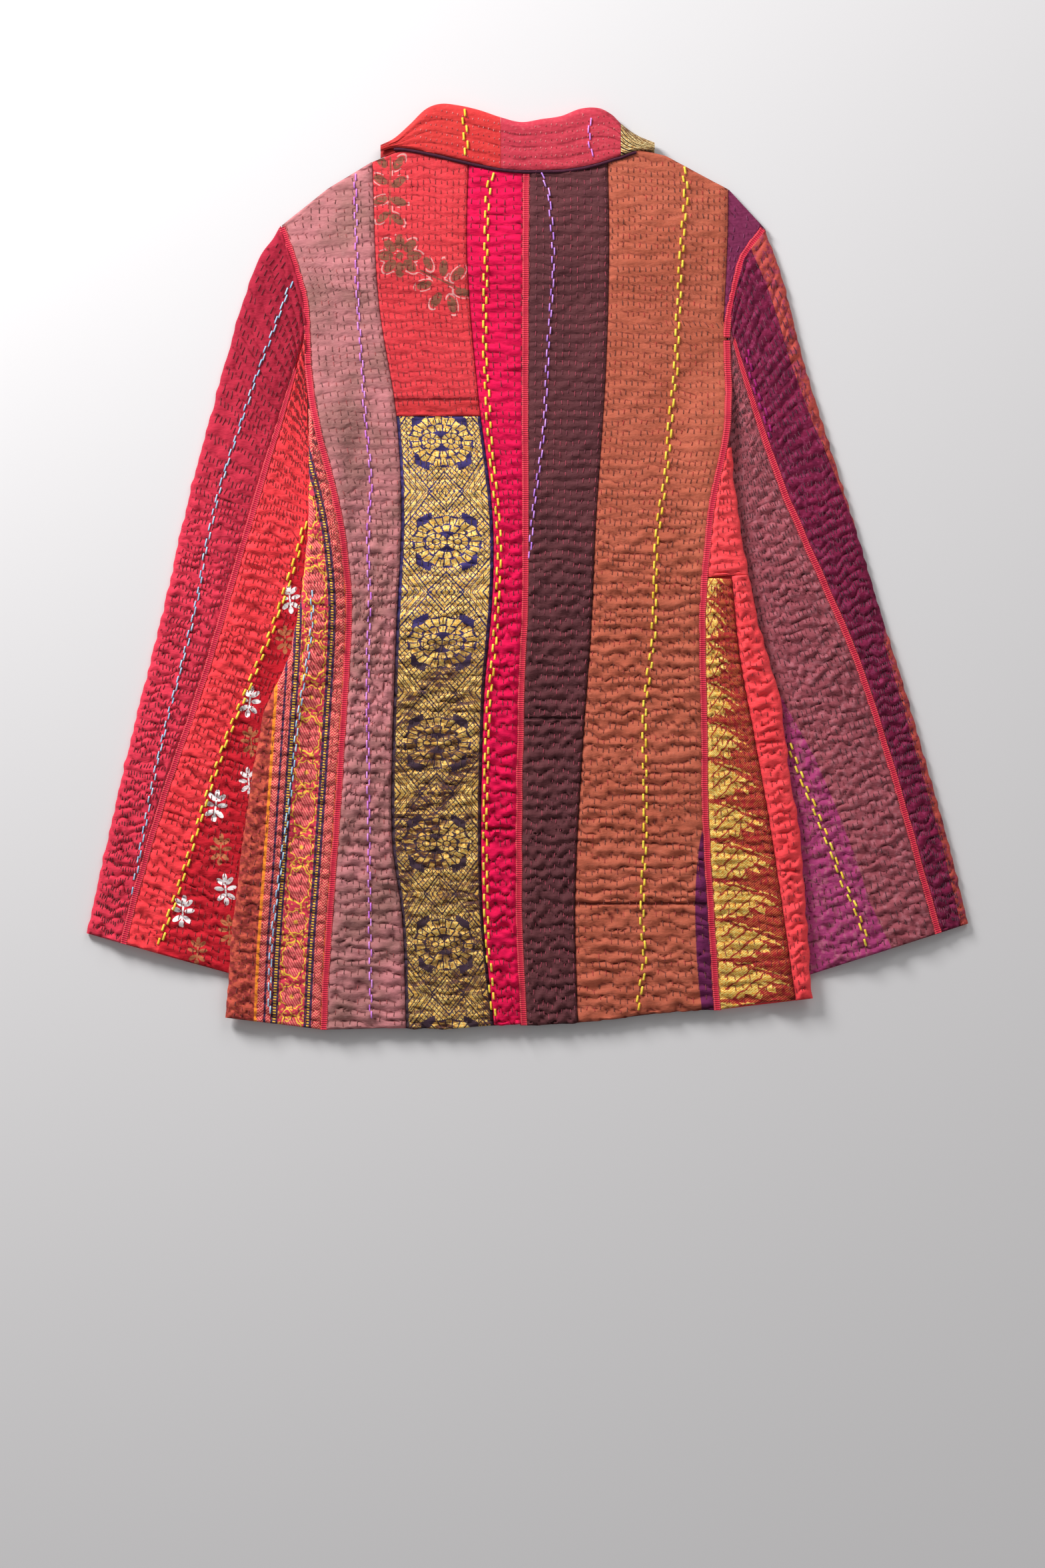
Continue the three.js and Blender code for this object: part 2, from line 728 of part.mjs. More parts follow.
addPiece('front_right', bodyStrip([
  seamTrack((v) => {
    const point = frontNeckLine(rightNeckColumn, centreLine, 1, HEM_Y.crimson).at(v);
    return { x: point.x + FRONT_GAP, y: point.y };
  }, plainRows, 0, 1),
  seamTrack(frontNeckLine(rightNeckColumn, centreLine, 0.5, HEM_Y.plum).at, plainRows, 0, 1),
  seamTrack(rightNeckColumn.at, plainRows, 0, 1),
  seamTrack(rustMiddle.at, plainRows, 0, 1),
  seamTrack(placeBeside(rightEdge, rustMiddle, FRONT_SIDE_TRACK), plainRows, 0, 1),
  seamTrack(placeBeside(rightEdge, rustMiddle, TAPE_REACH + half), rightRows, 0, 1),
  seamTrack(placeBeside(rightEdge, rustMiddle, half), rightRows, 0, 1),
], groundAt), CLOTH_COLOURS.front_right);

// A wall that turns round a fold, from a seam on the upper side to the same seam below it.
// Distances are measured from the fold, and quilting rises on the fine tracks only.
function foldedWall({ place, ground, crown, reach, fine, rows, fineShares, ripple, lower }) {
  const upperInner = (v, d) => ground(v, d) + WALL + LAYER_GAP + crown(v, d);
  const at = (v, d, z) => {
    const { x, y } = place(v, d);
    return new THREE.Vector3(x, y, z);
  };
  const seamEdge = (v) => reach(v) - half;
  const nearFold = (v) => Math.min(FOLD_NEAR, reach(v) * FOLD_NEAR_SHARE);
  const besideSeam = (v) => Math.max(seamEdge(v) - TAPE_REACH, nearFold(v) + 0.2);
  const turnIn = WALL + 0.2;
  const insideOf = (d, v) => Math.max(d, Math.min(turnIn + FOLD_CLEARANCE, seamEdge(v) - LAYER_GAP));
  const plainTops = [seamEdge, besideSeam];
  const outer = plainTops.map((d) => ({
    rows, point: (v) => at(v, d(v), upperInner(v, d(v)) + WALL),
  }));
  const inner = plainTops.map((d) => ({
    rows, point: (v) => at(v, insideOf(d(v), v), upperInner(v, d(v))),
  }));
  fine.forEach((d) => {
    outer.push({
      rows: fineShares,
      point: (v, row) => at(v, d(v), upperInner(v, d(v)) + WALL + ripple(row, v, d(v))),
    });
    inner.push({ rows, point: (v) => at(v, insideOf(d(v), v), upperInner(v, d(v))) });
  });
  const turn = Math.sin(Math.PI / 4) * FOLD_RADIUS;
  const turns = [
    { out: nearFold, outZ: FOLD_RADIUS, in: 0.25, inZ: LAYER_GAP / 2 },
    { out: () => FOLD_RADIUS - turn, outZ: turn, in: 0.12, inZ: LAYER_GAP * 0.4 },
    { out: () => 0, outZ: 0, in: 0, inZ: 0 },
    { out: () => FOLD_RADIUS - turn, outZ: -turn, in: 0.12, inZ: -LAYER_GAP * 0.4 },
    { out: nearFold, outZ: -FOLD_RADIUS, in: 0.25, inZ: -LAYER_GAP / 2 },
  ];
  turns.forEach((step) => {
    outer.push({
      rows, point: (v) => at(v, step.out(v), ground(v, step.out(v)) + FOLD_RADIUS + step.outZ),
    });
    inner.push({
      rows,
      point: (v) => at(v, turnIn + step.in, ground(v, turnIn) + FOLD_RADIUS + step.inZ),
    });
  });
  const lowerTracks = lower || [...fine.slice().reverse(), besideSeam, seamEdge];
  lowerTracks.forEach((d) => {
    outer.push({ rows, point: (v) => at(v, d(v), ground(v, d(v))) });
    inner.push({ rows, point: (v) => at(v, insideOf(d(v), v), ground(v, d(v)) + WALL) });
  });
  return wallGeometry(outer, inner);
}

// The side gores. The share v is the one of the back's side seam, so that both have the same rows.
function goreWall(edge, foldRows, rows, from, to, reachOf) {
  const hemY = foldRows[foldRows.length - 1].y;
  const goreTop = edge.at(from.gore).y;
  const foldPoint = (v) => {
    const share = (v - from.gore) / (1 - from.gore);
    const y = lerp(goreTop, hemY, share);
    return { x: straightAt(foldRows, 'y', 'x', y), y };
  };
  const span = (v) => {
    const fold = foldPoint(v);
    const seam = edge.at(v);
    return Math.hypot(seam.x - fold.x, seam.y - fold.y);
  };
  const place = (v, d) => {
    const fold = foldPoint(v);
    const seam = edge.at(v);
    const share = d / span(v);
    return { x: lerp(fold.x, seam.x, share), y: lerp(fold.y, seam.y, share) };
  };
  const reach = reachOf ? (v) => reachOf(v, foldPoint(v), span(v)) : span;
  const nearFold = (v) => Math.min(FOLD_NEAR, reach(v) * FOLD_NEAR_SHARE);
  const middle = (v) => {
    const free = reach(v) - half - TAPE_REACH - nearFold(v);
    return nearFold(v) + Math.max(0.1, free * GORE_MIDDLE);
  };
  const patchMiddle = (v) => lerp(span(v), reach(v) - half, LEAF_MIDDLE);
  const besideSpan = (v) => span(v) - half - TAPE_REACH;
  return {
    place,
    span,
    geometry: foldedWall({
      place,
      reach,
      ground: (v, d) => groundAt(place(v, d).x, place(v, d).y),
      crown: (v, d) => crownAt(place(v, d).x, place(v, d).y),
      fine: [middle],
      lower: reachOf && [middle, reach, patchMiddle, besideSpan, (v) => span(v) - half],
      rows: within(rows, from.share, to),
      fineShares: within(fineRows, from.share, to),
      ripple: (row, v, d) => {
        const { x, y } = place(v, d);
        return bodyRipple(row, x, y) * smooth((reach(v) - QUIET_GORE.from) / QUIET_GORE.fade);
      },
    }),
  };
}

const leftGoreTop = leftEdge.shareAt(GORE_TOP.left);
const rightGoreTop = rightEdge.shareAt(GORE_TOP.right);
const leafShare = rightEdge.shareAt(LEAF_TOP_Y);

const leftGore = goreWall(leftEdge, LEFT_FOLD, leftRows,
  { gore: leftGoreTop, share: leftGoreTop }, 1);
addPiece('side_left', leftGore.geometry, CLOTH_COLOURS.side_left);

const rightGore = goreWall(rightEdge, RIGHT_FOLD, rightRows,
  { gore: rightGoreTop, share: rightGoreTop }, leafShare - splitGap);
addPiece('side_right_upper', rightGore.geometry, CLOTH_COLOURS.side_right_upper);

// Below the leaf patch's top the upper side of the gore stops at the patch
const leafReach = (v, fold, span) => {
  const seam = rightEdge.at(v);
  let low = 0;
  let high = 1;
  for (let i = 0; i < 30; i += 1) {
    const share = (low + high) / 2;
    const x = lerp(fold.x, seam.x, share);
    const y = lerp(fold.y, seam.y, share);
    if (x > curveAt(LEAF_EDGE, 'y', 'x', y)) {
      low = share;
    } else {
      high = share;
    }
  }
  return low * span;
};
const lowerGore = goreWall(rightEdge, RIGHT_FOLD, rightRows,
  { gore: rightGoreTop, share: leafShare + splitGap }, 1, leafReach);
addPiece('side_right', lowerGore.geometry, CLOTH_COLOURS.side_right);

const leafEdgeAt = (offset) => (v) => (
  lowerGore.place(v, leafReach(v, lowerGore.place(v, 0), lowerGore.span(v)) + offset));
const leafStart = leafShare + splitGap;
const leafTowardsFold = { at: leafEdgeAt(0) };
addPiece('leaf_patch', bodyStrip([
  seamTrack(placeBeside(rightEdge, leafTowardsFold, half), rightRows, leafStart, 1),
  seamTrack(placeBeside(rightEdge, leafTowardsFold, TAPE_REACH + half), rightRows, leafStart, 1),
  rippledTrack((v) => {
    const seam = rightEdge.at(v);
    const edge = leafEdgeAt(-half)(v);
    return { x: lerp(seam.x, edge.x, LEAF_MIDDLE), y: lerp(seam.y, edge.y, LEAF_MIDDLE) };
  }, leafStart, 1),
  seamTrack(leafEdgeAt(half), rightRows, leafStart, 1),
], backLayer), CLOTH_COLOURS.leaf_patch);

// Sleeves. The share w runs from the armhole to the cuff.
function makeSleeve(sleeve) {
  const { outer, inner, seam, armhole, side } = sleeve;
  const armTop = armhole[0];
  const armLow = armhole[armhole.length - 1];
  const cuffDrop = outer[outer.length - 1].y - inner[inner.length - 1].y;
  const armDrop = armTop.y - armLow.y;
  const innerPoint = (w) => {
    const y = lerp(inner[0].y, inner[inner.length - 1].y, w);
    return { x: straightAt(inner, 'y', 'x', y), y };
  };
  const outerPoint = (w) => {
    const drop = lerp(armDrop, cuffDrop, smooth(w / SLEEVE_FAN));
    const y = innerPoint(w).y + drop;
    return { x: curveAt(outer, 'y', 'x', y), y };
  };
  const width = (w) => {
    const a = outerPoint(w);
    const b = innerPoint(w);
    return Math.hypot(b.x - a.x, b.y - a.y);
  };
  const placeShare = (w, share) => {
    const a = outerPoint(w);
    const b = innerPoint(w);
    const armY = lerp(armTop.y, armLow.y, share);
    const bow = straightAt(armhole, 'y', 'x', armY) - lerp(armTop.x, armLow.x, share);
    const fade = 1 - smooth(w / BOW_FADE);
    return { x: lerp(a.x, b.x, share) + (bow + side * half) * fade, y: lerp(a.y, b.y, share) };
  };
  const seamStart = (armTop.y - seam[0].y) / armDrop;
  const seamShare = (w) => {
    if (w === 0) {
      return seamStart;
    }
    let low = 0.02;
    let high = 0.98;
    for (let i = 0; i < 30; i += 1) {
      const share = (low + high) / 2;
      const { x, y } = placeShare(w, share);
      if (side * (x - curveAt(seam, 'y', 'x', y)) > 0) {
        low = share;
      } else {
        high = share;
      }
    }
    return low;
  };
  const crownOf = (w, fromOuter, fromInner) => SLEEVE_CROWN * smooth(w / SLEEVE_CROWN_RISE)
    * smooth(fromOuter / SLEEVE_CROWN_REACH) * smooth((fromInner - SLEEVE_TUCK) / SLEEVE_CROWN_REACH);
  const meanY = (w) => (innerPoint(w).y + outerPoint(w).y) / 2;
  const rowsAt = (step) => {
    const count = Math.round((meanY(0) - meanY(1)) / step);
    return Array.from({ length: count + 1 }, (unused, i) => {
      if (i === 0 || i === count) {
        return i / count;
      }
      const wanted = lerp(meanY(0), meanY(1), i / count);
      let low = 0;
      let high = 1;
      for (let k = 0; k < 30; k += 1) {
        const w = (low + high) / 2;
        if (meanY(w) > wanted) {
          low = w;
        } else {
          high = w;
        }
      }
      return low;
    });
  };
  const rows = rowsAt(PLAIN_STEP);
  const fineShares = rowsAt(RIPPLE_STEP);
  const quietRows = 3;
  const ripple = (fromInner) => (row, w, d) => {
    const inside = smooth((fromInner(w, d) - SLEEVE_TUCK) / QUIET_EDGE);
    const edges = row < quietRows ? 0 : 1;
    return rippleAt(row, SLEEVE_RIPPLE * inside * edges);
  };
  const armShare = (i) => (armTop.y - armhole[i].y) / armDrop / seamStart;
  const outerPiece = foldedWall({
    place: (w, d) => placeShare(w, d / width(w)),
    reach: (w) => seamShare(w) * width(w),
    ground: () => 0,
    crown: (w, d) => crownOf(w, d, width(w) - d),
    fine: [
      (w) => armShare(2) * seamShare(w) * width(w),
      (w) => armShare(1) * seamShare(w) * width(w),
    ],
    rows,
    fineShares,
    ripple: ripple((w, d) => width(w) - d),
  });
  const innerReach = (w) => (1 - seamShare(w)) * width(w);
  const innerPiece = foldedWall({
    place: (w, d) => placeShare(w, 1 - d / width(w)),
    reach: innerReach,
    ground: () => 0,
    crown: (w, d) => crownOf(w, width(w) - d, d),
    fine: [
      (w) => lerp(FOLD_NEAR, innerReach(w), INNER_TRACKS.middle),
      (w) => Math.min(lerp(FOLD_NEAR, innerReach(w), INNER_TRACKS.nearFold), FOLD_NEAR + SLEEVE_TUCK + 4),
    ],
    rows,
    fineShares,
    ripple: ripple((w, d) => d),
  });
  const upperZ = (w, share) => 2 * WALL + LAYER_GAP
    + crownOf(w, share * width(w), (1 - share) * width(w));
  const besideSeam = (offset) => (w) => {
    const share = seamShare(w) + offset / width(w);
    const { x, y } = placeShare(w, share);
    return new THREE.Vector3(x, y, upperZ(w, share));
  };
  return { outerPiece, innerPiece, besideSeam, rows };
}

const leftSleeve = makeSleeve(LEFT_SLEEVE);
const rightSleeve = makeSleeve(RIGHT_SLEEVE);
addPiece('sleeve_left_outer', leftSleeve.outerPiece, CLOTH_COLOURS.sleeve_left_outer);
addPiece('sleeve_left_inner', leftSleeve.innerPiece, CLOTH_COLOURS.sleeve_left_inner);
addPiece('sleeve_right_outer', rightSleeve.outerPiece, CLOTH_COLOURS.sleeve_right_outer);
addPiece('sleeve_right_inner', rightSleeve.innerPiece, CLOTH_COLOURS.sleeve_right_inner);

// Seam tapes, made from the points beside each seam, moved out
function tapeGeometry(places, rows) {
  const raised = (point, rise) => point.clone().add(new THREE.Vector3(0, 0, rise));
  const track = (place, rise) => ({ rows, point: (v) => raised(place(v), rise) });
  const outer = places.map((place) => track(place, LAYER_GAP + TAPE_WALL));
  const inner = places.map((place) => track(place, LAYER_GAP));
  return wallGeometry(outer, inner);
}

function onBack(place) {
  return (v) => {
    const { x, y } = place(v);
    return new THREE.Vector3(x, y, backLayer(x, y) + WALL);
  };
}

const tapeOffset = TAPE_REACH + half;
addPiece('tape_centre', tapeGeometry([
  onBack(placeBeside(centreLine, crimsonMiddle, tapeOffset)),
  onBack(centreLine.at),
  onBack(placeBeside(centreLine, plumMiddle, tapeOffset)),
], within(plainRows, COLLAR_COVER, 1)), CLOTH_COLOURS.tape);

function sideTape(edge, towards, rows, gore, side) {
  const start = edge.shareAt(edge.underarm - 4);
  const goreTop = edge.shareAt(side < 0 ? GORE_TOP.left : GORE_TOP.right);
  const outside = (v) => {
    if (v < goreTop) {
      const { x, y } = edge.at(v);
      return new THREE.Vector3(x + side * tapeOffset, y, backLayer(x, y) + WALL);
    }
    const span = gore.span(v);
    const nearFold = Math.min(FOLD_NEAR, span * FOLD_NEAR_SHARE);
    const { x, y } = gore.place(v, Math.max(span - tapeOffset, nearFold + 0.2));
    return new THREE.Vector3(x, y, backLayer(x, y) + WALL);
  };
  const places = [outside, onBack(edge.at), onBack(placeBeside(edge, towards, tapeOffset))];
  return tapeGeometry(places, within(rows, start, 1));
}

addPiece('tape_side_left',
  sideTape(leftEdge, mauveMiddle, leftRows, leftGore, -1), CLOTH_COLOURS.tape);
addPiece('tape_side_right',
  sideTape(rightEdge, rustMiddle, rightRows, rightGore, 1), CLOTH_COLOURS.tape);

// Armhole tapes follow the armhole's corners
function armholeTape(armhole) {
  const last = armhole.length - 1;
  const corner = (offset) => (v) => {
    const at = v * last;
    const i = Math.min(Math.floor(at), last - 1);
    const x = lerp(armhole[i].x, armhole[i + 1].x, at - i);
    const y = lerp(armhole[i].y, armhole[i + 1].y, at - i);
    const before = armhole[Math.max(Math.round(at) - 1, 0)];
    const after = armhole[Math.min(Math.round(at) + 1, last)];
    const run = Math.hypot(after.x - before.x, after.y - before.y);
    const acrossX = -(after.y - before.y) / run;
    const acrossY = (after.x - before.x) / run;
    const z = 2 * WALL + 2 * LAYER_GAP;
    return new THREE.Vector3(x + acrossX * offset, y + acrossY * offset, z);
  };
  const rows = armhole.map((unused, i) => i / last);
  rows[last] -= 0.02;
  return tapeGeometry([corner(-TAPE_REACH), corner(TAPE_REACH)], rows);
}

addPiece('tape_armhole_left', armholeTape(LEFT_ARMHOLE), CLOTH_COLOURS.tape);
addPiece('tape_armhole_right', armholeTape(RIGHT_ARMHOLE), CLOTH_COLOURS.tape);

function sleeveTape(sleeve, start) {
  const places = [-tapeOffset, 0, tapeOffset].map((offset) => sleeve.besideSeam(offset));
  return tapeGeometry(places, within(sleeve.rows, start, 1));
}

addPiece('tape_sleeve_left', sleeveTape(leftSleeve, SLEEVE_TAPE_START.left), CLOTH_COLOURS.tape);
addPiece('tape_sleeve_right', sleeveTape(rightSleeve, SLEEVE_TAPE_START.right), CLOTH_COLOURS.tape);

// The collar: a stand up from the neck edge, a soft roll, and a fall back over the top edge
function collarSection(x) {
  const roll = curveAt(COLLAR_SECTIONS, 'x', 'roll', x);
  const fall = curveAt(COLLAR_SECTIONS, 'x', 'fall', x);
  const neck = straightAt(TOP_EDGE, 'x', 'y', x) + SEAM_GAP;
  return { roll, fall, neck };
}

const collarStations = [...COLLAR_SECTIONS, ...TOP_EDGE]
  .map((row) => row.x)
  .sort((a, b) => a - b);

function collarGeometry(from, to) {
  const xRows = [from, ...collarStations.filter((x) => x > from + 1 && x < to - 1), to];
  const rows = xRows.map((x) => (x - from) / (to - from));
  const radius = ROLL_HEIGHT / 2;
  const track = (place) => ({
    rows,
    point: (share) => {
      const x = lerp(from, to, share);
      const { y, z } = place(x, collarSection(x));
      return new THREE.Vector3(x, y, z);
    },
  });
  const edgeZ = (x, section) => {
    const y = Math.min(section.fall, section.neck - 1);
    return backLayer(x, y) + WALL + LAYER_GAP;
  };
  const standZ = (x, section) => backLayer(x, section.neck - 1);
  const size = ({ roll, fall, neck }) => Math.min(radius, (roll - Math.max(fall, neck)) * ROLL_SHARE);
  const backAt = (section, share) => {
    const nearRoll = section.roll - size(section);
    return lerp(section.fall, nearRoll, share);
  };
  const fallZ = (x, section, share) => lerp(edgeZ(x, section), ROLL_BASE + ROLL_HEIGHT - WALL, share);
  const standY = (section, share) => lerp(section.neck, section.roll - size(section), share);
  const standLow = (x, section, share) => lerp(standZ(x, section), ROLL_BASE, smooth(share));
  const outer = FALL_TRACKS.map((share) => track((x, section) => (
    { y: backAt(section, share), z: fallZ(x, section, share) + WALL })));
  const inner = FALL_TRACKS.map((share) => track((x, section) => (
    { y: backAt(section, share), z: fallZ(x, section, share) })));
  ROLL_TURNS.forEach((degrees) => {
    const turn = THREE.MathUtils.degToRad(degrees);
    outer.push(track((x, section) => ({
      y: section.roll - size(section) * (1 - Math.sin(turn)),
      z: ROLL_BASE + radius + radius * Math.cos(turn),
    })));
    inner.push(track((x, section) => ({
      y: section.roll - size(section) + Math.max(size(section) - WALL, 0.3) * Math.sin(turn),
      z: ROLL_BASE + radius + (radius - WALL) * Math.cos(turn),
    })));
  });
  STAND_TRACKS.forEach((share) => {
    outer.push(track((x, section) => ({ y: standY(section, share), z: standLow(x, section, share) })));
    inner.push(track((x, section) => (
      { y: standY(section, share), z: standLow(x, section, share) + WALL })));
  });
  return wallGeometry(outer, inner);
}

COLLAR_CLOTHS.forEach((cloth, i) => {
  const from = i === 0 ? cloth.from : cloth.from + half;
  const to = i === COLLAR_CLOTHS.length - 1 ? cloth.to : cloth.to - half;
  addPiece(cloth.name, collarGeometry(from, to), cloth.colour);
});

// Round piping along the collar's free edge
function pipingGeometry() {
  const sections = COLLAR_SECTIONS.slice(1, -1);
  const rows = sections.map((unused, i) => i / (sections.length - 1));
  const ring = Array.from({ length: PIPING_SIDES }, (unused, i) => (i / PIPING_SIDES) * Math.PI * 2);
  const track = (turn) => ({
    rows,
    point: (share) => {
      const { x } = sections[Math.round(share * (sections.length - 1))];
      const section = collarSection(x);
      const y = section.fall - PIPING_RADIUS - LAYER_GAP;
      const panelY = Math.min(y, section.neck - 1);
      const z = backLayer(x, panelY) + WALL + LAYER_GAP + PIPING_RADIUS;
      const across = PIPING_RADIUS * Math.cos(turn);
      const up = PIPING_RADIUS * Math.sin(turn);
      return new THREE.Vector3(x, y + across, z + up);
    },
  });
  const upper = ring.slice(0, PIPING_SIDES / 2);
  const lower = ring.slice(PIPING_SIDES / 2).reverse();
  return wallGeometry(upper.map(track), lower.map(track));
}

addPiece('collar_piping', pipingGeometry(), CLOTH_COLOURS.piping);

// The two ends of the collar, flat on the surface below the fronts
function collarEnd(side) {
  const rows = COLLAR_END_SECTIONS.map((unused, i) => i / (COLLAR_END_SECTIONS.length - 1));
  const track = (xKey, yKey, z) => ({
    rows,
    point: (share) => {
      const section = COLLAR_END_SECTIONS[Math.round(share * (COLLAR_END_SECTIONS.length - 1))];
      return new THREE.Vector3(NECK_MIDDLE_X + side * section[xKey], section[yKey], z);
    },
  });
  const outer = [track('neckX', 'neckY', WALL), track('freeX', 'freeY', WALL)];
  const inner = [track('neckX', 'neckY', 0), track('freeX', 'freeY', 0)];
  return wallGeometry(outer, inner);
}

addPiece('collar_end_left', collarEnd(-1), COLLAR_CLOTHS[0].colour);
addPiece('collar_end_right', collarEnd(1), COLLAR_CLOTHS[2].colour);

export default jacket;
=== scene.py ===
"""A quilted patchwork jacket laid flat with its back up.

Sizes are in millimetres and turn into metres when a mesh is made.  X runs to the right across the
back, Y runs up to the collar and Z stands off the surface that the jacket lies on.
"""

from __future__ import annotations

import logging
import math
from dataclasses import dataclass, field
from enum import Enum
from typing import Callable, Sequence

import bpy
import numpy as np
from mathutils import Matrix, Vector

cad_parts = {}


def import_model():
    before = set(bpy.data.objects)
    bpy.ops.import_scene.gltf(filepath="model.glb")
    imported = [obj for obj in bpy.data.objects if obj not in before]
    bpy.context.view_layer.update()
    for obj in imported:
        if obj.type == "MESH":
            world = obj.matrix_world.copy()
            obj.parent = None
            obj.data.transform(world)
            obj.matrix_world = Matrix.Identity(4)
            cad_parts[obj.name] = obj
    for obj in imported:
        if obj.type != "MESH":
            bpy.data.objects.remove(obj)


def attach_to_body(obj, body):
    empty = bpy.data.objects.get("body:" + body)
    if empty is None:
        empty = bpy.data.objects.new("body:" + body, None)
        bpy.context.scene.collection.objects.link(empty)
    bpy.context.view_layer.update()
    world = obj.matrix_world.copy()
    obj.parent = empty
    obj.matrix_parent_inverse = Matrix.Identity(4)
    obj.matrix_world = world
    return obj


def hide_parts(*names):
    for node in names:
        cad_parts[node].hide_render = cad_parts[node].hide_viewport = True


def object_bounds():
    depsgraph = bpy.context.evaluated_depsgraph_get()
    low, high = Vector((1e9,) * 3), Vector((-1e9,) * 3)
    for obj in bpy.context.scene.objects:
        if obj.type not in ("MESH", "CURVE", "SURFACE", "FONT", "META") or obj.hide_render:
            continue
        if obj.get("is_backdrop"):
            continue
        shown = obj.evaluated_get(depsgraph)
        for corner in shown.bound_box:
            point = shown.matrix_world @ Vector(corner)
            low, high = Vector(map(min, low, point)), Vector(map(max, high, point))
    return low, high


Array = np.ndarray
Rgb = tuple[float, float, float]
Colour = str | Rgb
Rows = Sequence[tuple[float, ...]]
Curve = Callable[[Array], Array]
Socket = bpy.types.NodeSocket
Piece = bpy.types.Object

MM = 0.001
WALL = 2.2
LAYER_GAP = 0.3
HALF_GAP = 0.18
TAPE_REACH = 3.0
FOLD_RADIUS = WALL + LAYER_GAP / 2
FOLD_NEAR = 3.0
DOUBLE = 2 * WALL + LAYER_GAP
NECK_MIDDLE_X = -8.0
COLUMN_STEP = 4.6
SHEEN_ROUGHNESS = 0.5
COTTON_SPECULAR = 0.16
NO_ZONE = -9.0
SLEEVE_LENGTH = 505.0
LEFT_HEM_Y = -382.0
RIGHT_HEM_Y = -366.0
INNER_ROWS = 14
INNER_COLUMNS = 8
ALONG_ZERO = 400.0

# Upper edge of the back, from the left shoulder tip over the neck to the right one
TOP_ROWS = [(-203, 282), (-165, 312.5), (-128, 334), (-88, 350), (-48.4, 337), (-25, 335.6),
            (-0.8, 335), (33, 339), (66, 351), (114, 339), (166, 312), (196, 280)]
HEM_ROWS = [(-249, -372), (-231, -373), (-211, -375), (-191, -379), (-172, -382), (-149, -381),
            (-105, -381), (-68, -382), (-33, -378.4), (0.5, -378.4), (41, -377), (69, -373.5),
            (90, -370), (117, -368), (143, -366), (159, -366), (180, -362), (190, -360), (235, -356)]

# Armholes, side seams and folded sides, from the top down
LEFT_ARM_ROWS = [(-203, 282), (-191.5, 248), (-184, 222), (-182, 198), (-181, 166)]
RIGHT_ARM_ROWS = [(196, 280), (178.5, 256), (171, 228), (166, 203.5), (165, 188)]
LEFT_SEAM_ROWS = [(-181, 166), (-177, 136), (-172, 110), (-166, 88), (-154, 36), (-148, -14),
                  (-147.4, -50), (-152, -131), (-160, -250), (-165, -318), (-168, -382)]
RIGHT_SEAM_ROWS = [(165, 188), (166, 134), (163, 101), (153.5, 57), (147, -2), (144.6, -49),
                   (146.2, -137), (147, -204), (152, -291), (156.8, -366)]
LEFT_FOLD_ROWS = [(-181, 166), (-180.4, 115), (-180, 66), (-181, 26), (-187.6, -32), (-196, -73),
                  (-217, -119), (-226, -165), (-235, -229), (-243.6, -300), (-249, -372)]
RIGHT_FOLD_ROWS = [(165, 188), (166, 127), (171, 66), (178, 17), (191.4, -50), (209, -108),
                   (217, -175), (225, -217), (231.6, -302), (235, -356)]

# Seams between the strips of the back, from the top down
MAUVE_ROWS = [(-128, 334), (-122.7, 219), (-108, 124), (-104, 40), (-108.7, -68), (-111.7, -221),
              (-103, -291), (-100, -381)]
CRIMSON_ROWS = [(-48.4, 337), (-49.7, 256), (-41, 146), (-29, 46), (-28.6, -20), (-36, -115),
                (-37.4, -273), (-27.5, -378.4)]
CENTRE_ROWS = [(-0.8, 335), (-1.7, 160), (-1.9, -30), (-5.2, -115), (-6.6, -291), (-2.5, -378.4)]
RUST_ROWS = [(66, 351), (67.5, 268), (65, 164), (56.7, 36), (52.8, -49), (45.7, -150),
             (39.6, -273), (41.6, -377)]
PURPLE_ROWS = [(166, 312), (165.6, 276), (163, 217), (161.5, 196)]
LEAF_ROWS = [(168.5, -10), (175, -74), (186.5, -137.5), (201, -220), (221, -356)]
WEDGE_ROWS = [(149, -210), (144.6, -217), (141, -238), (138.6, -273), (140, -326), (144, -366)]
FRONT_NECK_ROWS = [(-88, 350), (-46, 314), (-2, 294), (36, 314), (66, 350)]
PURPLE_END_Y = 204.0
BROCADE_TOP_Y = 124.0
BAND_TOP_Y = 138.0
LEAF_TOP_Y = -9.0
LEFT_GORE_TOP = 130.0
RIGHT_GORE_TOP = 98.0

# Sleeve folds, under-arm edges and the seams along the tops of the sleeves, from the top down
LEFT_OUTER_ROWS = [(-203, 282), (-221.7, 254), (-237, 212), (-257, 142), (-281, 52), (-300, -32),
                   (-328, -144), (-349, -235), (-364, -302.5)]
LEFT_INNER_ROWS = [(-181.6, 166), (-181.2, 118), (-176, 82), (-172, 26), (-176, -32), (-186, -73),
                   (-204, -119), (-212, -165), (-221, -229), (-230, -300), (-234, -339)]
LEFT_TOP_SEAM_ROWS = [(-182, 198), (-195, 150), (-217, 78), (-242, -8), (-267, -93),
                      (-298, -184.5), (-322, -266), (-333, -310)]
RIGHT_OUTER_ROWS = [(196, 280), (210.7, 238), (230, 164), (252.7, 92), (272, 29), (296.5, -51),
                    (319, -125), (350, -235), (364, -294.5)]
RIGHT_INNER_ROWS = [(165.6, 188), (166.4, 118), (165, 82), (168, 26), (180, -50), (196, -108),
                    (205, -175), (213, -217), (223, -302), (228, -338.5)]
RIGHT_TOP_SEAM_ROWS = [(166, 203.5), (183.4, 145), (212, 62), (240, -3), (271, -75), (295, -147),
                       (319, -230), (340, -304.5)]

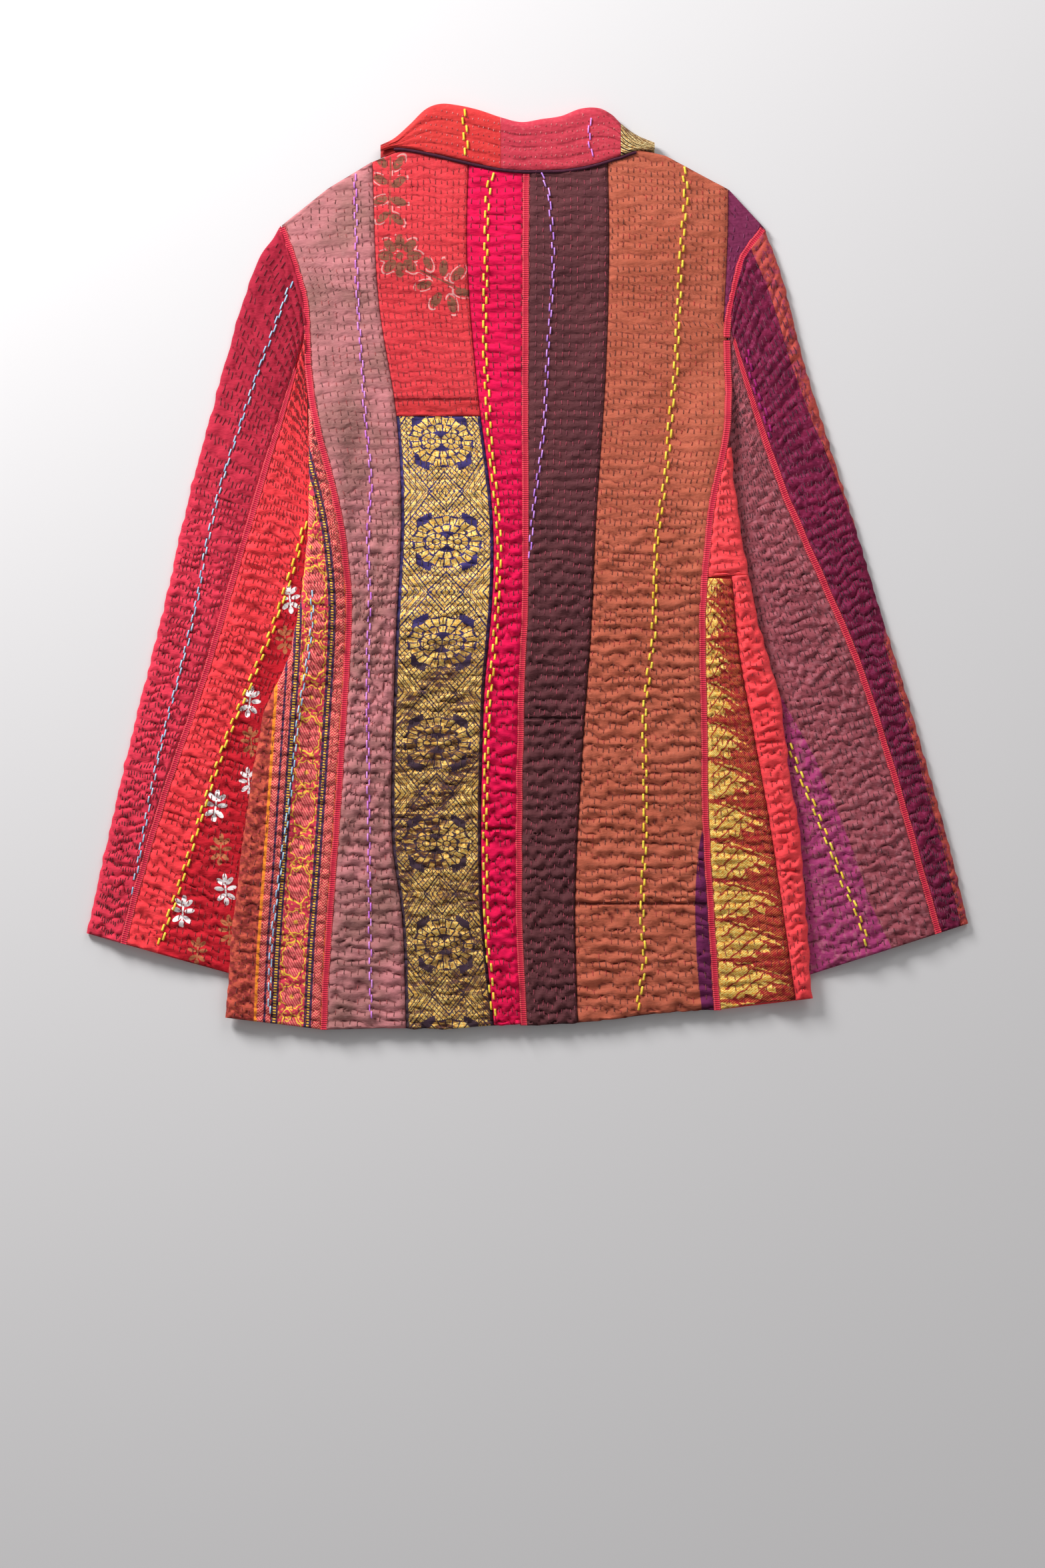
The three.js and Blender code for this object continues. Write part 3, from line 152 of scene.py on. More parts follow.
# Where one printed cloth of a sleeve gives way to another
RUST_PRINT_ROWS = [(180, 275), (187, 257), (198, 232), (207, 204), (216, 173), (225, 148),
                   (235, 120), (246, 96), (259.6, 62), (268, 40), (284, 0), (297, -44),
                   (294, -60), (313, -125), (344, -235), (357.5, -294)]
SPRIG_EDGE_ROWS = [(-178, 60), (-183, 39), (-188, 18), (-196, -9), (-210, -50), (-226.6, -91),
                   (-247, -140), (-265, -192), (-281.6, -247), (-300, -302), (-308, -330)]
VIOLET_EDGE_ROWS = [(196, -90), (210, -107), (214, -115.5), (237.6, -158), (252, -192),
                    (269, -235), (283, -278), (300, -313.5), (304, -330)]

# Collar sections from the left tip to the right one: x, roll line y, free edge y
COLLAR_ROWS = [(-121, 348, 342.5), (-110, 353.5, 345.5), (-97, 365, 344.5), (-84, 377.5, 342),
               (-72, 382, 339.5), (-58, 381, 336), (-40, 377, 332), (-22, 371, 328.5),
               (-5, 367, 327), (12, 369.5, 327), (28, 372, 327.5), (44, 378, 329.5),
               (59, 378.5, 333), (70, 373, 336.5), (77, 366, 338.5), (90, 356.5, 343),
               (105, 350, 343.5)]
ROLL_HEIGHT = 8.2
ROLL_BASE = 1.7
PIPING_RADIUS = 1.3

# Soft troughs in the back: start, end, depth, half width
CREASES = [(-176, 150, -120, 96, 0.9, 9), (-150, 190, -96, 150, 0.6, 10),
           (160, 176, 108, 120, 0.9, 9), (150, 120, 92, 92, 0.7, 8), (30, 60, 140, 36, 0.7, 7),
           (-30, -96, 96, -130, 0.6, 8), (-118, -60, -44, -74, 0.8, 9),
           (-140, -150, -190, -230, 0.8, 9), (60, -236, 140, -282, 0.7, 8),
           (-96, -250, -36, -230, 0.6, 9), (150, -60, 196, -170, 0.8, 8),
           (-60, 196, -14, 120, 0.5, 9), (10, 240, 60, 190, 0.5, 10),
           (-140, -300, -108, -360, 0.7, 8), (170, -250, 214, -300, 0.7, 8)]


def light(colour: Colour) -> Rgb:
    """A colour written as a screen shows it, such as #c47b7f, turned into light."""
    if not isinstance(colour, str):
        return colour
    shares = [int(colour[i:i + 2], 16) / 255 for i in (1, 3, 5)]
    return tuple(s / 12.92 if s <= 0.04045 else ((s + 0.055) / 1.055) ** 2.4 for s in shares)


def lerp(start: Array | float, end: Array | float, share: Array | float) -> Array:
    """The value a share of the way from start to end."""
    return start + (end - start) * share


def smooth(share: Array | float) -> Array:
    """A soft step from 0 to 1."""
    held = np.clip(share, 0, 1)
    return held * held * (3 - 2 * held)


def turned(x: Array | Val, y: Array | Val, place: tuple[float, float],
           lean: float) -> tuple[Array | Val, Array | Val]:
    """Distances along and across a mark that stands at a place and leans by an angle."""
    right, up = x - place[0], y - place[1]
    along = right * math.cos(lean) + up * math.sin(lean)
    return along, up * math.cos(lean) - right * math.sin(lean)


def beside_run(x: Array, y: Array, run: Sequence[float]) -> tuple[Array, Array]:
    """How far along a straight run each place lies, as a share, and how far beside it."""
    x0, y0, x1, y1 = run
    step = np.array([x1 - x0, y1 - y0])
    share = np.clip(((x - x0) * step[0] + (y - y0) * step[1]) / step.dot(step), 0, 1)
    return share, np.hypot(x - x0 - share * step[0], y - y0 - share * step[1])


def halved(holds: Curve, low: Array, high: Array, rounds: int) -> Array:
    """The last share at which a test holds.

    Args:
        holds: The test, which holds from low up to the share that is sought.
        low: Where the search starts.
        high: Where it ends.
        rounds: How often the search is halved.

    Returns:
        The share.
    """
    for _ in range(rounds):
        share = (low + high) / 2
        held = holds(share)
        low, high = np.where(held, share, low), np.where(held, high, share)
    return low


class Line:
    """Rows of a table read as a line, straight or curved between the rows."""

    def __init__(self, rows: Rows, key: int = 1, value: int = 0, curved: bool = True) -> None:
        """Sorts the rows by their key column.

        Args:
            rows: The table.
            key: The column that is looked up.
            value: The column that is returned.
            curved: Whether the line bends smoothly between its rows.
        """
        table = np.array(rows, float)
        order = np.argsort(table[:, key], kind="stable")
        self.keys = table[order, key]
        self.values = table[order, value]
        self.curved = curved
        before = np.concatenate(([0], np.arange(len(order) - 1)))
        after = np.minimum(np.arange(len(order)) + 1, len(order) - 1)
        self.slopes = (self.values[after] - self.values[before]) / (self.keys[after] - self.keys[before])

    def __call__(self, at: Array | float) -> Array:
        """The line's value at one or more keys."""
        held = np.clip(np.asarray(at, float), self.keys[0], self.keys[-1])
        if not self.curved:
            return np.interp(held, self.keys, self.values)
        i = np.clip(np.searchsorted(self.keys, held) - 1, 0, len(self.keys) - 2)
        span = self.keys[i + 1] - self.keys[i]
        t = (held - self.keys[i]) / span
        t2 = t * t
        t3 = t2 * t
        start = (2 * t3 - 3 * t2 + 1) * self.values[i] + (t3 - 2 * t2 + t) * self.slopes[i] * span
        end = (3 * t2 - 2 * t3) * self.values[i + 1] + (t3 - t2) * self.slopes[i + 1] * span
        return start + end


class Joined:
    """Two lines, one above the other, with a short turn between them."""

    def __init__(self, upper: Curve, lower: Curve, split: float, turn: float = 0.01) -> None:
        """Keeps the upper line down to split and the lower one from there."""
        self.upper = upper
        self.lower = lower
        self.split = split
        self.turn = turn

    def __call__(self, at: Array | float) -> Array:
        """The value of the joined line."""
        below = smooth((self.split - np.asarray(at, float)) / self.turn)
        return lerp(self.upper(at), self.lower(at), below)


def from_left(rows: Rows) -> Line:
    """A line of straight pieces that is read at a place across."""
    return Line(rows, key=0, value=1, curved=False)


def level_at(y: float) -> Line:
    """A level line across the body."""
    return from_left([(-300, y), (300, y)])


TOP_EDGE = from_left(TOP_ROWS)
LEFT_ARM = Line(LEFT_ARM_ROWS, curved=False)
RIGHT_ARM = Line(RIGHT_ARM_ROWS, curved=False)
LEFT_EDGE = Joined(LEFT_ARM, Line(LEFT_SEAM_ROWS), LEFT_SEAM_ROWS[0][1])
RIGHT_EDGE = Joined(RIGHT_ARM, Line(RIGHT_SEAM_ROWS), RIGHT_SEAM_ROWS[0][1])
LEFT_SIDE = Joined(LEFT_ARM, Line(LEFT_FOLD_ROWS, curved=False), LEFT_FOLD_ROWS[0][1])
RIGHT_SIDE = Joined(RIGHT_ARM, Line(RIGHT_FOLD_ROWS, curved=False), RIGHT_FOLD_ROWS[0][1])
MAUVE_SEAM = Line(MAUVE_ROWS)
CRIMSON_SEAM = Line(CRIMSON_ROWS)
CENTRE_SEAM = Line(CENTRE_ROWS)
RUST_SEAM = Line(RUST_ROWS)
RUST_EDGE = Joined(Line(PURPLE_ROWS), RIGHT_EDGE, PURPLE_END_Y, 8)
LEAF_EDGE = Line(LEAF_ROWS)


class Wander:
    """A soft unevenness that is the same on each run, about -1 to 1."""

    def __init__(self, seed: int, scale: float, waves: int = 9) -> None:
        """Draws the waves.

        Args:
            seed: Picks the unevenness.
            scale: The rough size of one wave in millimetres.
            waves: How many waves are summed.
        """
        draw = np.random.default_rng(seed)
        turn = draw.uniform(0, 2 * math.pi, waves)
        size = 2 * math.pi / (scale * draw.uniform(0.65, 1.7, waves))
        self.across = np.cos(turn) * size
        self.along = np.sin(turn) * size
        self.start = draw.uniform(0, 2 * math.pi, waves)

    def __call__(self, a: Array, b: Array) -> Array:
        """The unevenness at each pair of places."""
        total = np.zeros(np.broadcast(a, b).shape)
        for across, along, start in zip(self.across, self.along, self.start):
            total += np.sin(a * across + b * along + start)
        return total / math.sqrt(2 * len(self.start))


class Wavy:
    """A line that strays softly from its table, as a hand-turned hem does."""

    def __init__(self, line: Curve, seed: int, size: float = 0.75) -> None:
        """Keeps the line and draws its waves."""
        self.line = line
        self.waves = Wander(seed, 13)
        self.size = size

    def __call__(self, at: Array | float) -> Array:
        """The value of the wavy line."""
        place = np.asarray(at, float)
        return self.line(place) + self.size * self.waves(place, place * 0)


HEM_EDGE = Wavy(from_left(HEM_ROWS), 61)


@dataclass(frozen=True)
class Lie:
    """How the flat jacket lies: up over the sleeves at its sides, and soft in the middle."""

    side_lift: float = 6.2
    reach: float = 20
    fade: float = 28
    start_y: float = 164
    full_y: float = 112
    hem_y: float = -345
    hem_drop: float = 0.5
    neck_lift: float = 2.6
    neck_y: float = 215
    neck_fade: float = 35
    neck_half: float = 160
    crown_height: float = 2.4
    crown_reach: float = 70

    def inset(self, x: Array, y: Array) -> Array:
        """How far a place of the body lies inside its side edges."""
        return np.maximum(np.minimum(x - LEFT_SIDE(y), RIGHT_SIDE(y) - x), 0)

    def ground(self, x: Array, y: Array) -> Array:
        """Height of the lowest layer of the body."""
        near_side = 1 - smooth((self.inset(x, y) - self.reach) / self.fade)
        below_arm = smooth((self.start_y - y) / (self.start_y - self.full_y))
        at_hem = 1 - self.hem_drop * smooth((self.hem_y - y) / 40)
        neck_up = smooth((y - self.neck_y) / self.neck_fade)
        neck_across = smooth((self.neck_half - np.abs(x - NECK_MIDDLE_X)) / self.neck_fade)
        return self.side_lift * near_side * below_arm * at_hem + self.neck_lift * neck_up * neck_across

    def crown(self, x: Array, y: Array) -> Array:
        """The soft hollow between the fronts and the back."""
        sides = smooth(self.inset(x, y) / self.crown_reach)
        top = smooth((TOP_EDGE(x) - y) / self.crown_reach)
        return self.crown_height * sides * top

    def back(self, x: Array, y: Array) -> Array:
        """Height of the underside of the back."""
        return self.ground(x, y) + WALL + LAYER_GAP + self.crown(x, y)

    def creases(self, x: Array, y: Array) -> Array:
        """Depth of the soft troughs that lie across the back."""
        depth = np.zeros(np.broadcast(x, y).shape)
        for *run, deep, wide in CREASES:
            share, away = beside_run(x, y, run)
            depth += deep * np.exp(-((away / wide) ** 2)) * np.sin(math.pi * lerp(0.18, 0.82, share))
        return depth


LIE = Lie()


@dataclass(frozen=True)
class Quilt:
    """Raised puffs in rows across a cloth, with a line of grooves between the rows.

    upper and lower are the heights of the puffs above and below the waist.
    """

    seed: int
    upper: float = 1.15
    lower: float = 2.3
    wander: float = 2.7
    fine: float = 3.1
    pitch_upper: float = 8.0
    pitch_lower: float = 9.8
    waist: tuple[float, float] = (270, 470)

    def table(self) -> tuple[Array, Array]:
        """Distances down the cloth and the count of rows up to each one."""
        along = np.arange(-40.0, 860.0, 1.0)
        pitch = lerp(self.pitch_upper, self.pitch_lower, smooth((along - 260) / 260))
        return along, np.cumsum(1 / pitch)

    def drift(self, a: Array, b: Array) -> Array:
        """How far the grooves stray from level rows, in rows."""
        slow = Wander(self.seed, 46)(a, b) * self.wander
        quick = Wander(self.seed + 7, 10.5)(a, b * 0.55) * self.fine * lerp(0.5, 1, self.below(b))
        return (slow + quick) / self.pitch_lower

    def phase(self, a: Array, b: Array) -> Array:
        """Rows counted down to a place; a whole number lies in a groove."""
        along, count = self.table()
        return np.interp(b, along, count) + self.drift(a, b)

    def below(self, b: Array) -> Array:
        """0 above the waist and 1 below it."""
        start, end = self.waist
        return smooth((b - start) / (end - start))

    def strength(self, b: Array) -> Array:
        """Height of the puffs at a distance down the cloth."""
        return lerp(self.upper * 1.5, self.lower * 1.4, self.below(b))

    def ridge(self, a: Array, b: Array) -> Array:
        """0 in a deep groove and 1 midway between two grooves."""
        level = np.abs(np.sin(math.pi * self.phase(a, b))) ** 0.6
        return 1 - (1 - level) * lerp(0.85, 1, self.below(b))

    def crest(self, a: Array, b: Array) -> Array:
        """How high each puff is, as a share."""
        return np.maximum(0.84 + 0.4 * Wander(self.seed + 3, 17)(a, b * 1.7), 0.2)

    def grooves(self, a: Array, first: float, last: float) -> tuple[Array, Array]:
        """Where the grooves cross each column.

        Args:
            a: The columns, in millimetres across.
            first: The distance down at which the grooves start.
            last: The distance down at which they end.

        Returns:
            Matching arrays of columns and distances down.
        """
        along, count = self.table()
        rows = np.arange(math.floor(np.interp(first, along, count)) - 1,
                         math.ceil(np.interp(last, along, count)) + 2)
        across, row = np.meshgrid(a, rows.astype(float))
        down = np.interp(row, count, along)
        for _ in range(6):
            down = np.interp(row - self.drift(across, down), count, along)
        return across.ravel(), down.ravel()


class Pattern(Enum):
    """What is woven into a cloth or printed on it."""

    PLAIN = "plain"
    MOTTLED = "mottled"
    BROCADE = "brocade"
    LEAF = "leaf"
    BORDER = "border"
    FLORAL = "floral"
    SPRIG = "sprig"
    COLLAR_GOLD = "collar gold"
    TAPE = "tape"
    THREAD = "thread"


class Val:
    """A number that changes over a surface, worked out by Math nodes."""

    def __init__(self, paint: Paint, socket: Socket) -> None:
        """Wraps a socket that gives a number."""
        self.paint = paint
        self.socket = socket

    def math(self, operation: str, *others: Val | float, first: Val | float | None = None) -> Val:
        """A Math node on this value.

        Args:
            operation: The node's operation.
            others: The values after this one.
            first: A value that goes before this one, for reflected operators.

        Returns:
            The node's result.
        """
        values = [self, *others] if first is None else [first, self, *others]
        return self.paint.number("ShaderNodeMath", {"operation": operation}, dict(enumerate(values)))

    def __add__(self, other: Val | float) -> Val:
        """The sum."""
        return self.math("ADD", other)

    __radd__ = __add__

    def __mul__(self, other: Val | float) -> Val:
        """The product."""
        return self.math("MULTIPLY", other)

    __rmul__ = __mul__

    def __sub__(self, other: Val | float) -> Val:
        """The difference."""
        return self.math("SUBTRACT", other)

    def __rsub__(self, other: Val | float) -> Val:
        """The other value less this one."""
        return self.math("SUBTRACT", first=other)

    def __truediv__(self, other: Val | float) -> Val:
        """The quotient."""
        return self.math("DIVIDE", other)

    def __abs__(self) -> Val:
        """The value without its sign."""
        return self.math("ABSOLUTE")

    def __gt__(self, other: Val | float) -> Val:
        """1 where this value is larger, 0 elsewhere."""
        return self.math("GREATER_THAN", other)

    def __lt__(self, other: Val | float) -> Val:
        """1 where this value is smaller, 0 elsewhere."""
        return self.math("LESS_THAN", other)

    def fract(self) -> Val:
        """What is left over a whole number, 0 to 1."""
        return self.math("FRACT")

    def floor(self) -> Val:
        """The whole number below."""
        return self.math("FLOOR")

    def sin(self) -> Val:
        """The sine."""
        return self.math("SINE")

    def high(self, other: Val | float) -> Val:
        """The larger of two values."""
        return self.math("MAXIMUM", other)

    def angle(self, other: Val) -> Val:
        """The direction of the point whose y is this value and whose x is the other."""
        return self.math("ARCTAN2", other)

    def length(self, other: Val) -> Val:
        """The distance from the middle of the point with these two sides."""
        return (self * self + other * other).math("SQRT")

    def centred(self, repeat: float) -> Val:
        """The distance from the middle of the nearest repeat."""
        return ((self / repeat + 0.5).fract() - 0.5) * repeat

    def stepped(self, step: float) -> Val:
        """The value in steps, as threads give it."""
        return ((self / step).floor() + 0.5) * step

    def between(self, low: float, high: float) -> Val:
        """1 between two limits, 0 elsewhere."""
        return (self > low) * (self < high)

    def rise(self, low: float, high: float) -> Val:
        """A soft step from 0 at low to 1 at high."""
        limits = {"Value": self, "From Min": low, "From Max": high}
        return self.paint.number("ShaderNodeMapRange", {"interpolation_type": "SMOOTHSTEP"}, limits)


class Paint:
    """Makes one material from nodes."""

    def __init__(self, name: str) -> None:
        """Starts a material with its surface shader."""
        self.material = bpy.data.materials.new(name)
        self.material.use_nodes = True
        self.nodes = self.material.node_tree.nodes
        self.links = self.material.node_tree.links
        self.shader = next(node for node in self.nodes if node.type == "BSDF_PRINCIPLED")

    def node(self, kind: str, settings: dict[str, object] | None = None,
             sockets: dict[str | int, object] | None = None) -> bpy.types.Node:
        """Adds a node.

        Args:
            kind: The node's type.
            settings: What is set on the node itself, before its sockets.
            sockets: The values or links of its inputs, by name or place.

        Returns:
            The node.
        """
        made = self.nodes.new(kind)
        for key, value in (settings or {}).items():
            setattr(made, key, value)
        for key, value in (sockets or {}).items():
            self.plug(made.inputs[key], value)
        return made

    def plug(self, socket: Socket, value: object) -> None:
        """Links an input to a value's source, or sets it where the value is fixed."""
        if isinstance(value, (Val, Socket)):
            self.links.new(value.socket if isinstance(value, Val) else value, socket)
        else:
            socket.default_value = (*light(value), 1.0) if socket.type == "RGBA" else value

    def number(self, kind: str, settings: dict[str, object] | None = None,
               sockets: dict[str | int, object] | None = None, output: str | int = 0) -> Val:
        """Adds a node and returns one of its outputs as a number."""
        return Val(self, self.node(kind, settings, sockets).outputs[output])

    def field(self, name: str) -> Val:
        """A number that the mesh keeps for each of its points."""
        return self.number("ShaderNodeAttribute", {"attribute_name": name}, output="Fac")

    def sides(self, place: Socket) -> tuple[Val, Val]:
        """The first two sides of a place, in millimetres."""
        split = self.node("ShaderNodeSeparateXYZ", None, {0: place}).outputs
        return Val(self, split[0]) * (1 / MM), Val(self, split[1]) * (1 / MM)

    def cloth_place(self) -> tuple[Val, Val]:
        """Millimetres across and along the cloth."""
        return self.sides(self.node("ShaderNodeUVMap", {"uv_map": "cloth"}).outputs[0])

    def body_place(self) -> tuple[Val, Val]:
        """Millimetres across and up the laid jacket."""
        return self.sides(self.node("ShaderNodeTexCoord").outputs["Object"])

    def noise(self, size: float, detail: float = 2, stretch: Sequence[float] = (1, 1, 1)) -> Val:
        """Uneven clouds, 0 to 1.

        Args:
            size: The rough size of one cloud in millimetres.
            detail: How much finer unevenness is added.
            stretch: How much the clouds are squeezed along each axis.

        Returns:
            The clouds' value.
        """
        place = self.node("ShaderNodeMapping", None, {
            "Vector": self.node("ShaderNodeTexCoord").outputs["Object"], "Scale": tuple(stretch)})
        return self.number("ShaderNodeTexNoise", None, {
            "Vector": place.outputs[0], "Scale": 1 / (size * MM), "Detail": detail})

    def mix(self, share: Val | float, start: object, end: object, blend: str = "MIX") -> Socket:
        """Mixes two colours.

        Args:
            share: 0 for the first colour, 1 for the second.
            start: The first colour or a link to it.
            end: The second colour or a link to it.
            blend: How the second goes over the first.

        Returns:
            The mixed colour's socket.
        """
        settings = {"data_type": "RGBA", "blend_type": blend, "clamp_factor": True}
        return self.node("ShaderNodeMix", settings, {0: share, 6: start, 7: end}).outputs[2]

    def finish(self, colour: Socket | Colour, roughness: Val | float, height: Val | None,
               depth: float, sheen: float = 0.0, metallic: Val | float = 0.0) -> bpy.types.Material:
        """Joins everything to the shader.

        Args:
            colour: The colour or a link to it.
            roughness: How matt the surface is.
            height: Fine relief, 0 to 1.
            depth: The relief's height in millimetres.
            sheen: The soft shine of cotton, the same all over.
            metallic: Where metal thread shows.

        Returns:
            The material.
        """
        values = {"Base Color": colour, "Roughness": roughness, "Metallic": metallic,
                  "Sheen Weight": sheen, "Sheen Roughness": SHEEN_ROUGHNESS,
                  "Specular IOR Level": COTTON_SPECULAR}
        if height is not None:
            bump = self.node("ShaderNodeBump", None, {"Height": height, "Distance": depth * MM})
            values["Normal"] = bump.outputs[0]
        for key, value in values.items():
            self.plug(self.shader.inputs[key], value)
        return self.material


@dataclass(frozen=True)
class Cloth:
    """One cloth or thread: its colours, its pattern and its slot name."""

    slot: str
    main: Colour
    dark: Colour
    light: Colour
    pattern: Pattern = Pattern.PLAIN
    second: Colour = (0.5, 0.5, 0.5)
    blotch: float = 0.5
    # groove: how strongly painted shade darkens the quilting grooves
    groove: float = 0.92
    worn: float = 0.22
    speckle: float = 0.0
    # upper_dark: how much darker towards the top, partly the cloth's own tone and partly painted shade
    # that offsets the brighter lamp light up there
    upper_dark: float = 0.0

    def material(self, name: str) -> bpy.types.Material:
        """Makes the material for a piece of this cloth."""
        paint = Paint(name)
        if self.pattern is Pattern.THREAD:
            return self.thread(paint)
        if self.pattern is Pattern.TAPE:
            return self.tape(paint)
        a, b = paint.cloth_place()
        puff = paint.field("puff")
        clouds = paint.noise(34, 3)
        specks = paint.noise(2.6, 3)
        colour = paint.mix((clouds.rise(0.32, 0.72) * self.blotch), self.main, self.dark)
        colour = paint.mix(specks.rise(0.5, 0.8) * puff * self.worn, colour, self.light)
        # Darker towards the top: partly the cloth's own tone, partly painted shade against the lamp's
        # fall-off from top to bottom
        if self.upper_dark > 0:
            up = paint.body_place()[1].rise(-60, 240)
            colour = paint.mix(up * self.upper_dark, colour, self.dark)
        metal: Val | float = 0.0
        rough: Val | float = 0.84
        if self.pattern is Pattern.BROCADE:
            colour, metal, rough = self.brocade(paint, a, b)
        elif self.pattern is Pattern.LEAF:
            colour, metal, rough = self.leaves(paint, a, b, colour)
        elif self.pattern is Pattern.BORDER:
            colour = self.border(paint, a, b)
        elif self.pattern is Pattern.FLORAL:
            colour = self.floral(paint, colour, specks)
        elif self.pattern is Pattern.SPRIG:
            colour = self.sprigs(paint, colour, specks)
        elif self.pattern is Pattern.MOTTLED:
            colour = self.printed(paint, colour)
        elif self.pattern is Pattern.COLLAR_GOLD:
            colour, metal, rough = self.collar_gold(paint, a, b)
        wrinkles = paint.noise(4.6, 2.5, (0.5, 1.3, 1))
        # Painted shade: the colour is darkened in the quilting grooves and along soft wrinkles, where
        # shade would fall
        hollow = (1 - puff + wrinkles * 0.6).rise(0.6, 1.25) * self.groove
        colour = paint.mix(hollow, colour, (0.25, 0.13, 0.16), "MULTIPLY")
        weave = (a * 8.2).sin() * (b * 7.4).sin() * 0.25 + 0.5
        pucker = ((a / COLUMN_STEP * 2 * math.pi).sin() * 0.5 + 0.5) * (1 - puff)
        height = weave * 0.1 + specks * 0.3 + pucker * 0.35 + wrinkles
        return paint.finish(colour, rough, height, 0.75, sheen=0.07, metallic=metal)

    def thread(self, paint: Paint) -> bpy.types.Material:
        """Cotton thread, a little uneven from stitch to stitch."""
        tone = paint.field("tone")
        twist = paint.noise(0.7, 1)
        colour = paint.mix(tone, self.main, self.second)
        colour = paint.mix(twist.rise(0.5, 0.9) * 0.35, colour, self.dark)
        return paint.finish(colour, 0.7, twist, 0.25, sheen=0.15)

    def tape(self, paint: Paint) -> bpy.types.Material:
        """Overlocked tape: a ladder of stitches across a flat band."""
        a, b = paint.cloth_place()
        rungs = (b * 2 * math.pi / 1.7).sin() * 0.5 + 0.5
        rails = (abs(a) - 2.0).between(-0.35, 0.35)
        colour = paint.mix(rungs * 0.85, self.main, self.dark)
        colour = paint.mix(rails * 0.4, colour, self.light)
        colour = paint.mix(paint.noise(9, 2).rise(0.45, 0.75) * 0.45, colour, self.dark)
        return paint.finish(colour, 0.78, rungs * 0.8 + paint.noise(0.8, 1) * 0.4, 0.35, sheen=0.15)

    def brocade(self, paint: Paint, a: Val, b: Val) -> tuple[Socket, Val, Val]:
        """Gold medallions and nested diamonds on navy, repeating down the strip."""
        repeat = 83.0
        q = a.stepped(0.5)
        p = (b - 296.5).centred(repeat).stepped(0.5)
        gap = repeat / 2 - abs(p)
        out = abs(q)
        squeezed = q * 0.78
        radius = squeezed.length(p)
        turn = p.angle(squeezed)
        edge_nest = (37 - out) * 1.05 + gap * 0.8
        middle_nest = out + gap * 0.85
        lean = out - gap * 0.8
        stripe = ((edge_nest / 4.4).fract() < 0.78) * (((lean + 90) / 7.5).fract() < 0.9)
        kernel = ((middle_nest / 4.0).fract() < 0.74) * (((lean + 90) / 4.6).fract() < 0.86)
        grain = (((out + gap) / 5.4).fract() < 0.8) * (((lean + 90) / 3.4).fract() < 0.78)
        petals = radius + (turn * 13).sin() * 0.8
        ring = petals.between(14.4, 20.4) * ((turn * 26 / (2 * math.pi)).fract() < 0.8)
        bud = (out * 0.78 - 6.6).length(p)
        bud_turn = p.angle(out * 0.78 - 6.6)
        blossom = bud.between(2.9, 6.4) * ((bud_turn * 9 / (2 * math.pi)).fract() < 0.8)
        calyx = (radius.between(8.6, 13.4)) * (bud > 7.2) * ((turn * 14 / (2 * math.pi)).fract() < 0.78)
        medal = ring.high(blossom).high(bud < 1.9).high(calyx)
        moat = radius.between(21.0, 26.0) * out.between(12, 24)
        in_edge = (edge_nest < 25) * (radius > 21)
        in_middle = middle_nest < 13.4
        in_medal = radius < 21.4
        lattice = (abs(edge_nest - 26.2) > 0.7) * (abs(middle_nest - 14.4) > 0.6)
        outside = (1 - in_edge) * (1 - in_middle) * (1 - in_medal)
        figure = (stripe * in_edge).high(kernel * in_middle).high(medal * in_medal * (1 - in_edge))
        figure = figure.high(grain * outside * (1 - moat)) * lattice.high(in_medal)
        figure = figure * (abs(a) < 34.2)
        below = b.rise(430, 500)
        tone = paint.noise(1.6, 2)
        gold = paint.mix(tone.rise(0.35, 0.66), "#f4b248", "#ffe48a")
        shade = paint.noise(26, 3).rise(0.36, 0.62) * 0.75
        glint = paint.noise(4.5, 2, (0.5, 1.5, 1)).rise(0.46, 0.6)
        # Lower down the gold is worn darker in random clouds; shade here is that random tone, not light.
        # Light is also painted on: the gold stays bright only in glint streaks, where light would catch
        # the metal, and is painted dark brown as shade between them, so worn holds both wear and painted
        # highlight and shade.
        worn = paint.mix(below * shade * 0.5, gold, "#be8232")
        worn = paint.mix(below * (1 - glint) * (shade + 0.35), worn, "#6a422e")
        navy = paint.mix(paint.noise(22, 2).rise(0.35, 0.75), "#302654", "#483c7c")
        navy = paint.mix(below * 0.8, navy, "#422c28")
        colour = paint.mix(figure, navy, worn)
        return colour, figure * 0.12, 0.74 - figure * 0.18

    def leaves(self, paint: Paint, a: Val, b: Val,
               ground: Socket) -> tuple[Socket, Val, Val]:
        """Serrated gold leaves stacked down a red twill."""
        repeat = 33.0
        q = (a + 22).stepped(0.6)
        down = b.stepped(0.6) + (paint.noise(9, 1) - 0.5) * 7
        share = (down / repeat).fract()
        saw = ((down - q * 0.4) / 8.2).fract()
        fine_saw = ((down + q * 0.7) / 4.1).fract()
        bow = (share * math.pi).sin() * (15 + b.rise(460, 640) * 12)
        reach = 1.5 + bow + saw * 19 - fine_saw * 4
        vein = (abs(((down + q) / 11).fract() - 0.5) < 0.08)
        figure = (q < reach) * (share < 0.9) * (1 - vein * (q > 4))
        twill = (((a + b) / 1.8).fract() < 0.5)
        red = paint.mix(twill * 0.5, ground, "#701a1e")
        spark = (((a + b) / 1.8 + 0.5).fract() < 0.45) * paint.noise(3, 1).rise(0.42, 0.52)
        red = paint.mix(spark * 0.34, red, "#e29e46")
        tone = paint.noise(1.5, 2, (0.7, 1.2, 1)).rise(0.36, 0.64)
        gold = paint.mix(tone, "#eaa63c", "#ffe880")
        gold = paint.mix(twill * 0.4, gold, "#a84828")
        return paint.mix(figure, red, gold), figure * 0.12, 0.78 - figure * 0.2

